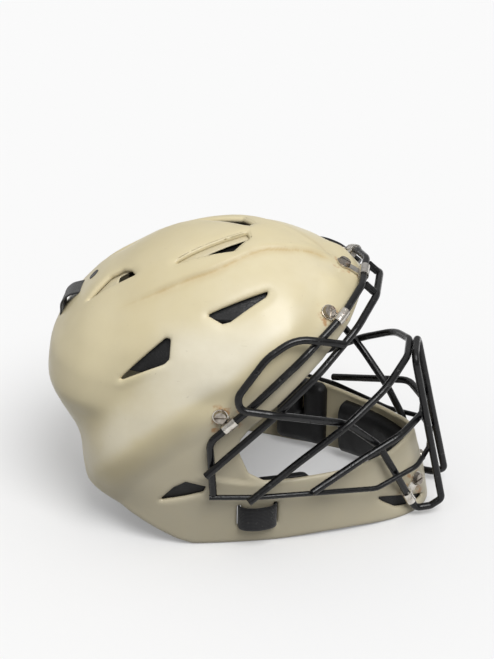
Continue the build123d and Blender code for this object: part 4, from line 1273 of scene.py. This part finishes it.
def curve_through(shares, count):
    """Even steps on a smooth curve through rows of numbers, the first of which is the place."""
    table = np.array(shares, float)
    t = np.linspace(0, len(table) - 1, count)
    i = np.clip(t.astype(int), 0, len(table) - 2)
    f = (t - i)[:, None]
    rows = np.concatenate([[2 * table[0] - table[1]], table, [2 * table[-1] - table[-2]]])
    a, b, c, d = rows[i], rows[i + 1], rows[i + 2], rows[i + 3]
    return b + 0.5 * f * (c - a + f * (2 * a - 5 * b + 4 * c - d + f * (3 * (b - c) + d - a)))


def webbing(name, node, centre, across, width, ends=()):
    """A flat woven strip along centre points, thicker along both sides; given ends, it rides on no body and
    its place is baked in.
    """
    across = unit(across)
    run = summed(np.linalg.norm(np.diff(centre, axis=0), axis=1))
    normal = unit(np.cross(np.gradient(centre, axis=0), across))
    places = np.linspace(-1, 1, strap_columns)
    thick = strap_thickness / 2 * (1 - selvedge_share * (1 - fade(abs(places), *selvedge_fade)))
    thick *= np.sqrt(np.maximum(1 - abs(places) ** selvedge_power, selvedge_least))
    aside = np.concatenate([places, places[::-1]])[:, None] * width / 2
    off = np.concatenate([thick, -thick[::-1]])[:, None]
    count = len(aside)
    points = (centre[:, None] + across[:, None] * aside + normal[:, None] * off).reshape(-1, 3)
    weave = np.array([(s, along) for along in run for s in aside[:, 0]])
    faces = []
    for start in range(0, (len(centre) - 1) * count, count):
        for k in range(count):
            a, b = start + k, start + (k + 1) % count
            faces.append((a, b, b + count, a + count))
    faces.append(tuple(reversed(range(count))))
    faces.append(tuple(range(len(points) - count, len(points))))
    made = piece(name, points, faces, webbing_finish, None if ends else "helmet", [node])
    corners = np.zeros(len(made.data.loops), int)
    made.data.loops.foreach_get("vertex_index", corners)
    made.data.uv_layers.new(name="weave").data.foreach_set("uv", weave[corners].ravel())
    if ends:
        start, end = [(float(x) + datum_x, float(y), float(z)) for x, y, z in ends]
        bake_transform(made)
        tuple(start)
        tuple(end)


def make_straps():
    low, high = [share * shell_height for share in top_strap_end_shares]
    place, bow = curve_through(top_strap_shares, top_strap_steps).T
    z = low + np.clip(place, 0, 1) * (high - low)
    point, outward, _ = laid(rear_wall(0.0), np.zeros(top_strap_steps), z, outward=True)
    lift = strap_gap + strap_thickness / 2 + np.maximum(bow, 0) * strap_bulge
    centre = point + outward * lift[:, None]
    ends = [centre[np.argmax(place > share)] for share in top_strap_hold_shares]
    across = np.tile((0.0, 1.0, 0.0), (top_strap_steps, 1))
    webbing("top_strap_webbing", "top_strap", centre, across, strap_width, ends)
    middle = side_strap_middle_share * shell_width
    reach = side_strap_length / 2
    wall = rear_wall(max(shell_wall, plate_inset + plate_wall))
    for side_name, side in sides:
        y = np.linspace(middle - reach, middle + reach, side_strap_steps)
        z = np.full(side_strap_steps, side_strap_share * shell_height)
        point, outward, _ = laid(wall, side * y, z, outward=True)
        centre = point - outward * (strap_gap + strap_thickness / 2)
        tilt = np.cross(outward, (0.0, 1.0, 0.0))
        tilt *= np.sign(tilt[:, 2:])
        webbing("side_strap_webbing_" + side_name, "side_strap_" + side_name, centre, tilt, side_strap_width,
                [centre[hold] for hold in side_strap_holds])


def make_jaw_loops():
    along, bow = curve_through(loop_shares, loop_steps).T
    x = jaw_loop_shares[0] * shell_length + along * slot_pitch / 2
    z = np.full(loop_steps, jaw_loop_shares[1] * shell_height)
    point, outward, _ = laid(side_wall(-1), x, z, outward=True)
    centre = point + unit(outward * (1, 1, 0)) * bow[:, None] * loop_bulge
    for side_name, side in sides:
        across = np.tile((0.0, -side * loop_tilt, 1.0), (loop_steps, 1))
        webbing("jaw_loop_webbing_" + side_name, "jaw_loop_" + side_name, centre * (1, -side, 1), across,
                loop_height)


make_shell()
make_pads()
make_rear_plate()
make_rear_pad()
make_straps()
make_jaw_loops()


# Finish of the nodes that stay as they are

def finish_of(node):
    """The material of a node that the scene shows as it is, and none for a replaced one."""
    if node.startswith("cage_"):
        return wire_finish
    if node in ("clip_screws", "clip_nuts"):
        return screw_finish
    if node.startswith("clip_"):
        return clip_finish
    return knob_finish if node.endswith("_anchors") else None


for node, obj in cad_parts.items():
    if finish_of(node):
        obj.data.materials.clear()
        obj.data.materials.append(finish_of(node))

# Floor, light and camera
floor_size = 30.0
floor_colour = 0.65
floor_glow = 0.20
floor_bounce = 0.18
sky_top = 0.76
sky_side = 0.31
sky_below = 0.16
backdrop = 0.945
sun_strength = 2.05
sun_angle = math.radians(34)
sun_place = (0.42, -0.64, 1.12)
sky_fade = 0.25
sky_limit = 3.1
seen_rays = ("Is Camera Ray", "Is Glossy Ray", "Is Transmission Ray")


def make_floor():
    """A pale floor that looks bright and throws little light back."""
    mesh = bpy.data.meshes.new("floor")
    half = floor_size / 2
    corners = [(-half, -half, 0), (half, -half, 0), (half, half, 0), (-half, half, 0)]
    mesh.from_pydata(corners, [], [(0, 1, 2, 3)])
    floor = bpy.data.objects.new("floor", mesh)
    bpy.context.scene.collection.objects.link(floor)
    material, tree, shader = new_material("pale_floor", Specular_IOR_Level=0.0, Roughness=0.95)
    path = tree.node("ShaderNodeLightPath").outputs
    camera_ray, glossy_ray, clear_ray = [path[name] for name in seen_rays]
    seen = tree.math("MAXIMUM", camera_ray, tree.math("MAXIMUM", glossy_ray, clear_ray))
    tree.put(shader["Base Color"], tree.mix(seen, (floor_bounce,) * 3 + (1,), (floor_colour,) * 3 + (1,)))
    tree.put(shader["Emission Strength"], tree.times(seen, floor_glow))
    floor.data.materials.append(material)


def make_sun():
    data = bpy.data.lights.new("key", "SUN")
    data.energy = sun_strength
    data.angle = sun_angle
    lamp = bpy.data.objects.new("key", data)
    lamp.rotation_euler = Vector(sun_place).to_track_quat("Z", "Y").to_euler()
    bpy.context.scene.collection.objects.link(lamp)


def make_world():
    """A pale sky, brighter above, in front of an even backdrop that only the camera sees."""
    world = bpy.data.worlds.new("studio")
    world.use_nodes = True
    bpy.context.scene.world = world
    tree = Tree(world.node_tree)
    background = world.node_tree.nodes["Background"]
    direction = tree.node("ShaderNodeTexCoord").outputs["Generated"]
    rise = tree.node("ShaderNodeSeparateXYZ", Vector=direction).outputs["Z"]
    upper = tree.ramp(rise, out_low=sky_side, out_high=sky_top)
    sky = tree.math("MINIMUM", upper, tree.ramp(rise, -sky_fade, 0.0, sky_below, sky_limit))
    camera_ray = tree.node("ShaderNodeLightPath").outputs["Is Camera Ray"]
    level = tree.plus(sky, tree.times(camera_ray, tree.minus(backdrop, sky)))
    tree.put(background.inputs["Color"], (1.0, 1.0, 1.0, 1))
    tree.put(background.inputs["Strength"], level)


make_floor()
make_world()
make_sun()

# Camera: azimuth 7 and elevation 28 degrees, from the side of the helmet
camera_azimuth = math.radians(7)
camera_elevation = math.radians(28)
camera_distance = 1.790
camera_target = (-0.0008 + datum_x, 0.0, 0.146)
camera_lens = 122.37
sensor = 36.0

camera_data = bpy.data.cameras.new("camera")
camera_data.lens = camera_lens
camera_data.sensor_width = sensor
camera_data.sensor_fit = "AUTO"
camera = bpy.data.objects.new("camera", camera_data)
back = Vector((math.sin(camera_azimuth) * math.cos(camera_elevation),
               -math.cos(camera_azimuth) * math.cos(camera_elevation), math.sin(camera_elevation)))
camera.location = Vector(camera_target) + back * camera_distance
camera.rotation_euler = (-back).to_track_quat("-Z", "Y").to_euler()
bpy.context.scene.collection.objects.link(camera)
bpy.context.scene.camera = camera
bpy.context.scene.view_settings.view_transform = "Standard"
